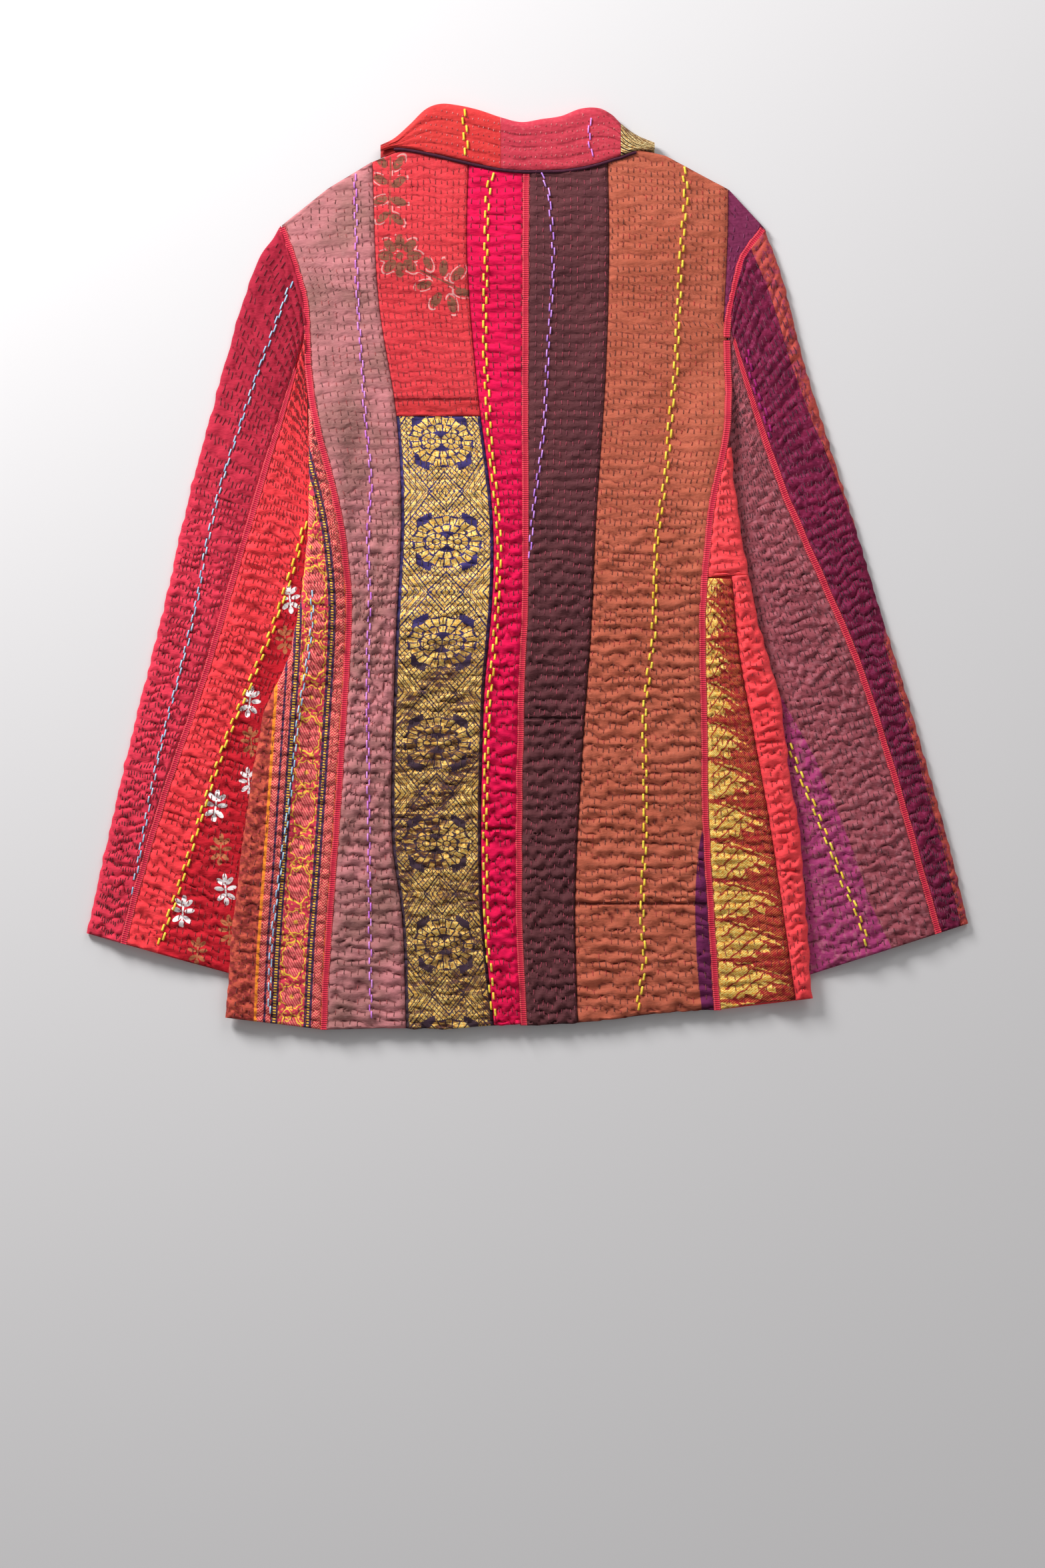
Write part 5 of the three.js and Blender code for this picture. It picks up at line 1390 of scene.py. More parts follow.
@dataclass
class Folded(Panel):
    """A piece that turns round a fold, from a seam on the upper side to the same seam below."""

    stitched: float = field(default=0.75, kw_only=True)

    def reach(self, v: Array) -> Array:
        """Distance from the fold to the seam on the upper side."""
        raise NotImplementedError

    def lower_reach(self, v: Array) -> Array:
        """Distance from the fold to the seam on the under side."""
        return self.reach(v)

    def spot(self, v: Array, away: Array) -> tuple[Array, Array]:
        """The place at a distance from the fold."""
        raise NotImplementedError

    def ground(self, x: Array, y: Array) -> Array:
        """Height of what the piece lies on."""
        raise NotImplementedError

    def crown(self, v: Array, away: Array) -> Array:
        """How much the upper side bulges."""
        raise NotImplementedError

    def columns(self) -> Array:
        """The shares across at which lines of kantha stitches run."""
        count = max(int(self.widest * self.stitched / COLUMN_STEP), 2)
        return (np.arange(count) + 0.6) / (count + 0.4)

    def near_fold(self, v: Array) -> Array:
        """Where the turn begins, which is closer where the piece is narrow."""
        return np.minimum(FOLD_NEAR, self.reach(v) * 0.4)

    def away(self, u: Array, v: Array) -> Array:
        """Distance from the fold at a share across the upper side; u is 0 at the seam."""
        return lerp(self.reach(v) - HALF_GAP, self.near_fold(v), u)

    def place(self, u: Array, v: Array) -> tuple[Array, Array]:
        """Where a share of the upper side lies."""
        return self.spot(v, self.away(u, v))

    def rim(self, u: Array, v: Array) -> Array:
        """How far inside its seam and ends a place lies."""
        ends = np.minimum(v, 1 - v) * self.length
        return np.minimum(self.reach(v) - self.away(u, v), ends)

    def base(self, u: Array, v: Array) -> Array:
        """Height of the upper face without quilting."""
        away = self.away(u, v)
        x, y = self.spot(v, away)
        return self.ground(x, y) + DOUBLE + self.crown(v, away)

    def flat_beside(self, u: Array, v: Array) -> Array:
        """0 where the piece stays flat below a tape or at its fold, 1 elsewhere."""
        away = self.away(u, v)
        return smooth((self.reach(v) - away - 1.4) / 3.4) * smooth(away / 7)

    def build(self, rests_on: Sequence[str]) -> Piece:
        """Makes the folded shell and dresses it."""
        tall = int(self.length / self.row_step) + 1
        wide = max(int(self.widest / self.column_step), 6)
        under = max(int(self.widest / 14), 3)
        turns = np.radians([60, 30, 0, -30, -60])
        v_line = np.linspace(0, 1, tall)
        v, u = np.meshgrid(v_line, np.linspace(0, 1, wide), indexing="ij")
        a, b = self.cloth_place(u, v)
        x, y = self.place(u, v)
        column = v_line[:, None]
        near = self.near_fold(column)
        turn_in = WALL + 0.2
        seam_in = np.maximum(self.reach(column) - HALF_GAP - 0.3, 0.2)

        def inside(away: Array) -> Array:
            """Keeps the inner face clear of the turn."""
            return np.maximum(away, np.minimum(turn_in + 0.35, seam_in))

        top_away = self.away(u, v)
        in_x, in_y = self.spot(v, inside(top_away))
        parts = [(np.stack((x, y, self.height(u, v)), -1),
                  np.stack((x, y, self.base(u, v)), -1),
                  np.stack((in_x, in_y, self.base(u, v) - WALL), -1), a, b, self.puff(u, v))]
        edge_a = a[:, -1:]
        sign = np.sign(edge_a - a[:, :1]) + (edge_a == a[:, :1])
        for turn in turns:
            bend = FOLD_RADIUS * (1 - math.cos(turn))
            bend_x, bend_y = self.spot(column, np.minimum(bend, near * 0.98))
            level = self.ground(bend_x, bend_y) + FOLD_RADIUS
            point = np.stack((bend_x, bend_y, level + FOLD_RADIUS * math.sin(turn)), -1)
            deep_x, deep_y = self.spot(column, turn_in + 0.05 + 0.25 * abs(math.sin(turn)) + column * 0)
            deep = np.stack((deep_x, deep_y, level + LAYER_GAP / 2 * math.sin(turn)), -1)
            turned = edge_a + sign * FOLD_RADIUS * (math.pi / 2 - turn)
            parts.append((point, point, deep, turned, b[:, -1:], np.full(point.shape[:2], 0.8)))
        low_v, share = np.meshgrid(v_line, np.linspace(0, 1, under + 1), indexing="ij")
        low_away = lerp(self.near_fold(low_v), self.lower_reach(low_v) - HALF_GAP, share)
        low_x, low_y = self.spot(low_v, low_away)
        low = np.stack((low_x, low_y, self.ground(low_x, low_y)), -1)
        low_in_x, low_in_y = self.spot(low_v, inside(low_away))
        low_in = np.stack((low_in_x, low_in_y, self.ground(low_x, low_y) + WALL), -1)
        under_a = edge_a + sign * (FOLD_RADIUS * math.pi + low_away - near)
        parts.append((low, low, low_in, under_a, b[:, -1:] + share * 0, np.full(share.shape, 0.7)))
        outer, plain, deep = (np.concatenate([part[k] for part in parts], axis=1) for k in range(3))
        uv = np.concatenate([np.stack((part[3], part[4]), -1) for part in parts], axis=1)
        puff = np.concatenate([part[5] for part in parts], axis=1)
        rows = picks(tall, INNER_ROWS)
        columns = np.unique(np.append(picks(wide, INNER_COLUMNS - 1), np.arange(wide - 1, outer.shape[1])))
        fields = {"puff": puff}
        fields.update(self.extra(outer[..., 0], outer[..., 1]))
        made = closed_shell(self.name, outer, deep[np.ix_(rows, columns)], rows, columns, uv, fields)
        return self.dress(made, plain, rests_on)


@dataclass
class Gore(Folded):
    """A side gore of the body between its seam and its fold."""

    edge: Curve
    fold: Curve
    fold_hem: float
    gore_top: float
    top_y: float
    end_y: float
    patch: Curve | None = None

    def __post_init__(self) -> None:
        """Works out where the gore's rows start and end, and its size."""
        self.hem_y = LEFT_HEM_Y if self.fold_hem < -370 else RIGHT_HEM_Y
        y = np.linspace(self.end_y, self.top_y, 60)
        self.length = float(self.top_y - self.end_y)
        v = (self.top_y - y) / self.length
        self.widest = float(np.max(self.reach(v)))

    def ends(self, v: Array) -> tuple[Array, Array, Array, Array]:
        """The seam point and the fold point of a row."""
        seam_y = lerp(self.top_y, self.end_y, v)
        share = (self.gore_top - seam_y) / (self.gore_top - self.hem_y)
        fold_y = lerp(self.gore_top, self.fold_hem, share)
        return self.edge(seam_y), seam_y, self.fold(fold_y), fold_y

    def span(self, v: Array) -> Array:
        """Distance from the fold to the body's seam."""
        seam_x, seam_y, fold_x, fold_y = self.ends(v)
        return np.hypot(seam_x - fold_x, seam_y - fold_y)

    def reach(self, v: Array) -> Array:
        """Distance from the fold to the gore's own seam, which may be at a patch."""
        if self.patch is None:
            return self.span(v)
        seam_x, seam_y, fold_x, fold_y = self.ends(v)

        def beyond(share: Array) -> Array:
            """Whether a share of the row lies outside the patch."""
            return lerp(fold_x, seam_x, share) > self.patch(lerp(fold_y, seam_y, share))

        return halved(beyond, np.zeros(np.shape(v)), np.ones(np.shape(v)), 24) * self.span(v)

    def lower_reach(self, v: Array) -> Array:
        """The under side runs on to the body's seam."""
        return self.span(v)

    def spot(self, v: Array, away: Array) -> tuple[Array, Array]:
        """The place at a distance from the fold."""
        seam_x, seam_y, fold_x, fold_y = self.ends(v)
        share = away / self.span(v)
        return lerp(fold_x, seam_x, share), lerp(fold_y, seam_y, share)

    def ground(self, x: Array, y: Array) -> Array:
        """Height of the body's lowest layer."""
        return LIE.ground(x, y)

    def crown(self, v: Array, away: Array) -> Array:
        """How much the body bulges there."""
        return LIE.crown(*self.spot(v, away))

    def cloth_place(self, u: Array, v: Array) -> tuple[Array, Array]:
        """Millimetres out from the body's seam and down from above the collar."""
        along = ALONG_ZERO - lerp(self.top_y, self.end_y, v)
        return self.span(v) - self.away(u, v), along + u * 0

    def share_down(self, u: Array, along: Array) -> Array:
        """The share v at a distance along the cloth."""
        return (self.top_y - (ALONG_ZERO - along)) / self.length


@dataclass
class SleeveShape:
    """The lines of one sleeve. The share w runs from the armhole to the cuff."""

    side: int
    armhole: Rows
    outer_rows: Rows
    inner_rows: Rows
    seam_rows: Rows
    fan: float = 0.3
    bow_fade: float = 0.15
    crown_height: float = 2.8
    crown_reach: float = 40
    tuck: float = 18

    def __post_init__(self) -> None:
        """Reads the sleeve's tables."""
        self.outer = Wavy(Line(self.outer_rows), 64 + self.side, 0.7)
        self.inner = Line(self.inner_rows, curved=False)
        self.seam = Line(self.seam_rows)
        self.arm = Line(self.armhole, curved=False)
        self.arm_top = self.armhole[0]
        self.arm_low = self.armhole[-1]
        self.cuff_drop = self.outer_rows[-1][1] - self.inner_rows[-1][1]
        self.arm_drop = self.arm_top[1] - self.arm_low[1]
        w = np.linspace(0, 1, 160)
        self.seam_table = (w, self.find_seam(w))

    def inner_point(self, w: Array) -> tuple[Array, Array]:
        """The under-arm end of a row."""
        y = lerp(self.inner_rows[0][1], self.inner_rows[-1][1], w)
        return self.inner(y), y

    def outer_point(self, w: Array) -> tuple[Array, Array]:
        """The outer end of a row."""
        y = self.inner_point(w)[1] + lerp(self.arm_drop, self.cuff_drop, smooth(w / self.fan))
        return self.outer(y), y

    def width(self, w: Array) -> Array:
        """The length of a row."""
        outer_x, outer_y = self.outer_point(w)
        inner_x, inner_y = self.inner_point(w)
        return np.hypot(outer_x - inner_x, outer_y - inner_y)

    def place(self, w: Array, share: Array) -> tuple[Array, Array]:
        """A place on a row, from its outer end at 0 to its inner end at 1."""
        outer_x, outer_y = self.outer_point(w)
        inner_x, inner_y = self.inner_point(w)
        arm_y = lerp(self.arm_top[1], self.arm_low[1], share)
        bow = self.arm(arm_y) - lerp(self.arm_top[0], self.arm_low[0], share)
        fade = 1 - smooth(w / self.bow_fade)
        x = lerp(outer_x, inner_x, share) + (bow + self.side * HALF_GAP) * fade
        return x, lerp(outer_y, inner_y, share)

    def find_seam(self, w: Array) -> Array:
        """The share at which the top seam crosses each row."""

        def outside(share: Array) -> Array:
            """Whether a share of each row lies outside the seam."""
            x, y = self.place(w, share)
            return self.side * (x - self.seam(y)) > 0

        found = halved(outside, np.full(np.shape(w), 0.02), np.full(np.shape(w), 0.98), 30)
        start = (self.arm_top[1] - self.seam_rows[0][1]) / self.arm_drop
        return np.where(np.asarray(w) <= 0, start, found)

    def seam_share(self, w: Array) -> Array:
        """The share of the top seam, read from the table."""
        return np.interp(w, *self.seam_table)

    def crown(self, w: Array, from_outer: Array, from_inner: Array) -> Array:
        """How much the upper side of the sleeve bulges."""
        return (self.crown_height * smooth(w / 0.12) * smooth(from_outer / self.crown_reach)
                * smooth((from_inner - self.tuck) / self.crown_reach))


@dataclass
class SleevePiece(Folded):
    """One half of a sleeve, round its outer or its inner fold."""

    shape: SleeveShape
    is_outer: bool
    stamps: Sequence[tuple[float, ...]] = ()

    def __post_init__(self) -> None:
        """Works out the size of the piece."""
        self.length = SLEEVE_LENGTH
        self.widest = float(np.max(self.reach(np.linspace(0, 1, 40))))

    def reach(self, v: Array) -> Array:
        """Distance from this piece's fold to the top seam."""
        share = self.shape.seam_share(v)
        return (share if self.is_outer else 1 - share) * self.shape.width(v)

    def spot(self, v: Array, away: Array) -> tuple[Array, Array]:
        """The place at a distance from the fold."""
        share = away / self.shape.width(v)
        return self.shape.place(v, share if self.is_outer else 1 - share)

    def ground(self, x: Array, y: Array) -> Array:
        """The sleeves lie on the surface."""
        return np.zeros(np.broadcast(x, y).shape)

    def crown(self, v: Array, away: Array) -> Array:
        """How much the upper side bulges there."""
        rest = self.shape.width(v) - away
        return self.shape.crown(v, away, rest) if self.is_outer else self.shape.crown(v, rest, away)

    def cloth_place(self, u: Array, v: Array) -> tuple[Array, Array]:
        """Millimetres from the top seam and down from the armhole."""
        side = 1 if self.is_outer else -1
        return side * (self.reach(v) - self.away(u, v)), v * self.length + u * 0

    def share_down(self, u: Array, along: Array) -> Array:
        """The share v at a distance along the cloth."""
        return along / self.length + u * 0

    def flat_beside(self, u: Array, v: Array) -> Array:
        """Flatter also where the sleeve is tucked under the body."""
        away = self.away(u, v)
        tucked = self.shape.width(v) - away if self.is_outer else away
        return super().flat_beside(u, v) * smooth((tucked - self.shape.tuck + 6) / 16)

    def extra(self, x: Array, y: Array) -> dict[str, Array]:
        """Adds each point's place on the nearest printed sprig."""
        fields = super().extra(x, y)
        if not self.stamps:
            return fields
        nearest = np.full(x.shape, 1e9)
        for key in ("stamp_x", "stamp_y", "stamp_kind"):
            fields[key] = np.zeros(x.shape)
        for stamp_x, stamp_y, degrees, size, kind in self.stamps:
            away = np.hypot(x - stamp_x, y - stamp_y)
            closer = away < nearest
            along, up = turned(x, y, (stamp_x, stamp_y), math.radians(degrees))
            for key, value in (("stamp_x", along / size), ("stamp_y", up / size), ("stamp_kind", kind)):
                fields[key] = np.where(closer, value, fields[key])
            nearest = np.where(closer, away, nearest)
        fields["stamp_near"] = (nearest < 13.4).astype(float)
        return fields


TAPE_BESIDE = np.array([-1.0, -0.86, -0.62, -0.35, 0.0, 0.35, 0.62, 0.86, 1.0]) * TAPE_REACH
TAPE_RISE = np.array([0.45, 1.1, 1.4, 1.15, 1.05, 1.15, 1.4, 1.1, 0.45])


@dataclass(frozen=True)
class Tape:
    """A narrow overlocked tape over a seam, with two rolled edges."""

    name: str

    def build(self, spot: Callable[[Array, Array], tuple[Array, Array]], level: Curve,
              rows: Array) -> Piece:
        """Makes the tape.

        Args:
            spot: The place for a share down the seam and a distance beside it.
            level: Height of the cloth below the tape.
            rows: The shares down the seam.

        Returns:
            The tape, dressed.
        """
        v, offset = np.meshgrid(rows, TAPE_BESIDE, indexing="ij")
        sway = Wander(len(self.name) * 13 + 5, 40)(v * 600, v * 0) * 0.35
        x, y = spot(v, offset + sway)
        low = level(x, y)
        pucker = Wander(len(self.name) * 7 + 1, 9)(v * 700, offset) * 0.12
        outer = np.stack((x, y, low + TAPE_RISE + pucker), -1)
        rows_in, columns_in = picks(len(rows), 6), picks(len(TAPE_BESIDE), 4)
        inner = np.stack((x, y, low + 0.05), -1)[np.ix_(rows_in, columns_in)]
        run = np.hypot(np.gradient(x[:, 4]), np.gradient(y[:, 4]))
        along = np.cumsum(run)[:, None] + offset * 0
        made = closed_shell(self.name, outer, inner, rows_in, columns_in,
                            np.stack((offset, along), -1), {})
        logging.info("%s: %.0f mm long", self.name, run.sum())
        return attach(made, self.name, TAPE, self.name)


def beside_line(line: Curve, top: float, hem: float) -> Callable[[Array, Array], tuple[Array, Array]]:
    """A function that gives the place beside a line that runs down the body."""

    def spot(v: Array, offset: Array) -> tuple[Array, Array]:
        """The place at a share down the line and a distance to its right."""
        y = lerp(top, hem, v)
        slope = (line(y + 1) - line(y - 1)) / 2
        stretch = np.sqrt(1 + slope * slope)
        return line(y) + offset / stretch, y - offset * slope / stretch

    return spot


@dataclass(frozen=True)
class Collar:
    """The rolled collar: a stand up from the neck, a soft roll and a fall over the back."""

    quilt: Quilt = Quilt(seed=91, upper=0.5, lower=0.5, wander=1.2, fine=0.5)

    def section(self, x: Array) -> tuple[Array, Array, Array]:
        """Roll line, free edge and neck edge at x."""
        roll = Line(COLLAR_ROWS, key=0, value=1)(x)
        fall = Line(COLLAR_ROWS, key=0, value=2)(x)
        return roll, fall, TOP_EDGE(x) + 0.36

    def faces(self, x: Array, share: Array) -> tuple[Array, Array]:
        """Outer and inner points of the collar.

        Args:
            x: Place across the collar.
            share: 0 at the free edge, 1 where the roll starts, 2 where it ends, 3 at the neck.

        Returns:
            The outer and the inner points.
        """
        roll, fall, neck = self.section(x)
        radius = ROLL_HEIGHT / 2
        size = np.minimum(radius, (roll - np.maximum(fall, neck)) * 0.42)
        edge_y = np.minimum(fall, neck - 1)
        edge_z = LIE.back(x, edge_y) + WALL + LAYER_GAP
        stand_z = LIE.back(x, neck - 1)
        a, b = x, (1 - np.clip(share, 0, 1)) * 30
        lift = self.quilt.ridge(a, b) * self.quilt.crest(a, b) * 0.9
        fall_share = np.clip(share, 0, 1)
        turn = np.clip(share - 1, 0, 1) * math.pi
        stand_share = 1 - np.clip(share - 2, 0, 1)
        fall_y = lerp(fall, roll - size, fall_share)
        fall_z = lerp(edge_z, ROLL_BASE + ROLL_HEIGHT - WALL, fall_share)
        roll_y = roll - size * (1 - np.sin(turn))
        roll_z = ROLL_BASE + radius + radius * np.cos(turn)
        roll_in_y = roll - size + np.maximum(size - WALL, 0.3) * np.sin(turn)
        roll_in_z = ROLL_BASE + radius + (radius - WALL) * np.cos(turn)
        stand_y = lerp(neck, roll - size, stand_share)
        low_z = lerp(stand_z, ROLL_BASE, smooth(stand_share))
        on_fall, on_roll = share <= 1, (share > 1) & (share < 2)
        soft_edge = smooth((fall_share * (roll - fall) + 0.4) / 3.0)
        y = np.where(on_fall, fall_y, np.where(on_roll, roll_y, stand_y))
        z = np.where(on_fall, fall_z + WALL + (lift + 0.2) * soft_edge - 0.5 * (1 - soft_edge),
                     np.where(on_roll, roll_z, low_z))
        in_y = np.where(on_fall, fall_y, np.where(on_roll, roll_in_y, stand_y))
        in_z = np.where(on_fall, fall_z, np.where(on_roll, roll_in_z, low_z + WALL))
        return np.stack((x + y * 0, y, z), -1), np.stack((x + y * 0, in_y, in_z), -1)

    def build(self, name: str, cloth: Cloth, start: float, end: float) -> Piece:
        """Makes one cloth of the collar."""
        stations = np.concatenate((np.linspace(0, 1, 26), 1 + np.arange(1, 12) / 12,
                                   np.linspace(2, 3, 8)))
        x_line = np.linspace(start, end, max(int((end - start) / 1.5), 8))
        share, x = np.meshgrid(stations, x_line, indexing="ij")
        outer, inner = self.faces(x, share)
        rows, columns = picks(len(stations), 3), picks(len(x_line), 5)
        uv = np.stack((x, share * 30), -1)
        puff = self.quilt.ridge(x, (1 - np.clip(share, 0, 1)) * 30)
        made = closed_shell(name, outer, inner[np.ix_(rows, columns)], rows, columns, uv, {
            "puff": puff, "zone": np.full(x.shape, NO_ZONE)})
        attach(made, name, cloth, name)
        return declare(made, name, outer, False, ["back_floral"])

    def stitches(self) -> Piece:
        """Small running stitches on the fall, in columns."""
        draw = np.random.default_rng(17)
        work = ThreadWork(radius=0.36, sides=4)
        columns = np.arange(-92.0, 72.0, 4.3)
        for x in columns:
            roll, fall, _ = self.section(np.array(x))
            reach = float(roll - fall)
            starts = np.arange(3.0 + draw.uniform(0, 2), reach - 3, 7.0)
            down = starts[:, None] + np.array([0.0, 0.7, 1.9, 2.6])
            share = down / reach
            points, _ = self.faces(np.full(share.shape, x) + draw.normal(0, 0.25, (len(starts), 1)), share)
            points[..., 2] += np.array([-0.3, 0.16, 0.16, -0.3])
            work.add(points, draw.uniform(0, 1, len(starts)))
        return work.build("kantha_collar", kantha(COLLAR_RED, "#961e2c", "#e28c8c"))

    def piping(self) -> Piece:
        """The round piping along the free edge."""
        x = np.linspace(COLLAR_ROWS[1][0], COLLAR_ROWS[-2][0], 150)
        _, fall, neck = self.section(x)
        y = fall - PIPING_RADIUS - LAYER_GAP
        z = LIE.back(x, np.minimum(y, neck - 1)) + WALL + LAYER_GAP + PIPING_RADIUS
        sides = 12
        turns = np.arange(sides) * 2 * math.pi / sides
        ring = np.stack((x[:, None] + turns * 0, y[:, None] + PIPING_RADIUS * np.cos(turns),
                         z[:, None] + PIPING_RADIUS * np.sin(turns)), -1)
        count = ring.shape[0] * sides
        face = np.arange(count).reshape(-1, sides)
        nxt = np.roll(face, -1, axis=1)
        quads = np.stack((face[:-1], nxt[:-1], nxt[1:], face[1:]), -1).reshape(-1, 4)
        faces = [*quads.tolist(), face[0][::-1].tolist(), face[-1].tolist()]
        uv = np.stack(np.broadcast_arrays(turns[None, :] * 1.3, x[:, None]), -1).reshape(-1, 2)
        made = new_mesh("collar_piping_cord", ring.reshape(-1, 3), faces,
                        {"puff": np.full(count, 0.8), "zone": np.full(count, NO_ZONE)}, uv)
        return attach(made, made.name, PIPING, "collar_piping")


RUNNING_STEPS = np.array([-0.5, -0.4, -0.2, 0.0, 0.2, 0.4, 0.5])
RUNNING_LIFT = np.array([-0.75, 0.45, 0.7, 0.75, 0.7, 0.45, -0.75])


@dataclass(frozen=True)
class Running:
    """A double line of thick running stitches along a given route."""

    name: str
    thread: Cloth
    routes: tuple[Rows, ...]
    stitch: float = 7.2
    pitch: float = 12.8
    apart: float = 1.35
    radius: float = 0.98

    def build(self, carriers: Sequence[Piece]) -> Piece:
        """Lays the stitches on the cloths below them.

        Args:
            carriers: The pieces that the stitches may lie on.

        Returns:
            The stitches as one piece.
        """
        draw = np.random.default_rng(len(self.name) * 19 + 3)
        work = ThreadWork(radius=self.radius, sides=6)
        for route in self.routes:
            rows = np.array(route, float)
            run = np.concatenate(([0], np.cumsum(np.linalg.norm(np.diff(rows, axis=0), axis=1))))
            table_x = Line(np.stack((rows[:, 0], run), -1).tolist())
            table_y = Line(np.stack((rows[:, 1], run), -1).tolist())
            for side in (-1, 1):
                first = self.pitch * (0.35 if side < 0 else 0.85)
                middles = np.arange(first, run[-1] - self.stitch / 2, self.pitch)
                middles = middles + draw.normal(0, 0.5, middles.shape)
                long = self.stitch * draw.uniform(0.86, 1.14, middles.shape)
                at = middles[:, None] + long[:, None] * RUNNING_STEPS
                x, y = table_x(at), table_y(at)
                run_x, run_y = (table(at + 0.5) - table(at - 0.5) for table in (table_x, table_y))
                length = np.maximum(np.hypot(run_x, run_y), 1e-6)
                off = side * self.apart + draw.normal(0, 0.18, (len(middles), 1))
                x, y = x + run_y / length * off, y - run_x / length * off
                z = surface_heights(carriers, x, y)
                good = np.isfinite(z).all(axis=1)
                middle = z[good][:, 3:4]
                held = np.clip(z[good], middle - 0.5, middle + 0.7)
                points = np.stack((x[good], y[good], held + RUNNING_LIFT), -1)
                work.add(points, draw.uniform(0, 1, good.sum()))
        return work.build(self.name, self.thread)


def surface_heights(carriers: Sequence[Piece], x: Array, y: Array) -> Array:
    """Height of the topmost of some pieces at each place, or infinity where none is."""
    heights = np.full(x.shape, np.inf)
    down = Vector((0, 0, -1))
    for index in np.ndindex(x.shape):
        start = Vector((x[index] * MM, y[index] * MM, 0.1))
        found = [hit[1].z / MM for hit in (piece.ray_cast(start, down) for piece in carriers) if hit[0]]
        if found:
            heights[index] = max(found)
    return heights


SPRIG_STAMPS = [(-196, -26, 6, 0.95, 0), (-229, -111, -10, 1.0, 0), (-230, -177, 5, 0.9, 0),
                (-257, -197, -8, 1.05, 0), (-249, -266, 4, 1.0, 0), (-284, -284, -6, 1.05, 0),
                (-200, -60, 0, 0.9, 1), (-228, -144, 4, 0.95, 1), (-253, -233, -4, 1.0, 1),
                (-246, -300, 3, 1.0, 1), (-272, -317, -5, 0.9, 1)]

YELLOW = kantha(BROCADE, "#ffe854", "#fcd038")
BLUE = kantha(RED_SLEEVE, "#bee2f6", "#96c4e8")
VIOLET = kantha(MAUVE, "#d678e8", "#eca0f8")
LILAC = kantha(PLUM, "#e2a6ff", "#c484f4")
MAGENTA = kantha(PURPLE, "#b01874", "#961064")

RUNNING = [
    Running("thread_violet", VIOLET, (
        [(-142, 325), (-141, 274), (-140, 219), (-137, 177), (-134, 128), (-129, 72), (-131, 37),
         (-131, 2), (-130, -27), (-131.5, -85), (-131, -182), (-130, -279), (-128.7, -375)],
        [(52, 371), (51, 352), (54, 336)]), apart=0.85, radius=0.65),
    Running("thread_yellow_back", YELLOW, (
        [(-28.6, 326), (-32, 310), (-34, 256), (-35, 183), (-33, 142), (-31, 107), (-27.5, 72),
         (-24, 37), (-23, 10), (-26, -49), (-29, -87), (-32, -115), (-34.6, -203), (-34.6, -247),
         (-33, -309), (-30, -343), (-27.5, -374)],
        [(128, 331), (131, 310), (128, 272), (125, 219), (122, 159.5), (118, 121), (114, 74),
         (107.6, 31), (105.6, -2), (104, -58), (97, -115), (97, -186), (97, -221), (94.6, -291),
         (96.5, -326), (90, -368)],
        [(-53, 378), (-51, 356), (-50, 338)])),
    Running("thread_lilac", LILAC, (
        [(10.5, 326), (16, 314), (19, 296), (21.5, 258), (20, 219), (17, 179), (14, 117), (10, 84),
         (5, 46), (2, 5)],), apart=0.85, radius=0.65),
    Running("thread_blue", BLUE, (
        [(-194, 237), (-209, 196), (-223, 158), (-237, 116), (-252, 70), (-264, 20), (-272, -26),
         (-285, -81), (-298, -130), (-310, -185), (-320, -239), (-326, -275)],
        [(-178, -18), (-177, -42), (-181, -77), (-189, -128), (-196, -195), (-206, -268),
         (-211, -311), (-213, -372)]), apart=0.8, radius=0.65),
    Running("thread_yellow_sleeves", YELLOW, (
        [*SPRIG_EDGE_ROWS[1:-1], (-304, -315)],
        [(215, -144), (228, -178), (240, -206), (252, -237), (262, -264), (272, -285), (282, -316)])),
    Running("thread_magenta", MAGENTA, (
        [(181, 181), (184, 162), (190, 141), (195, 129), (202, 104)],)),
]


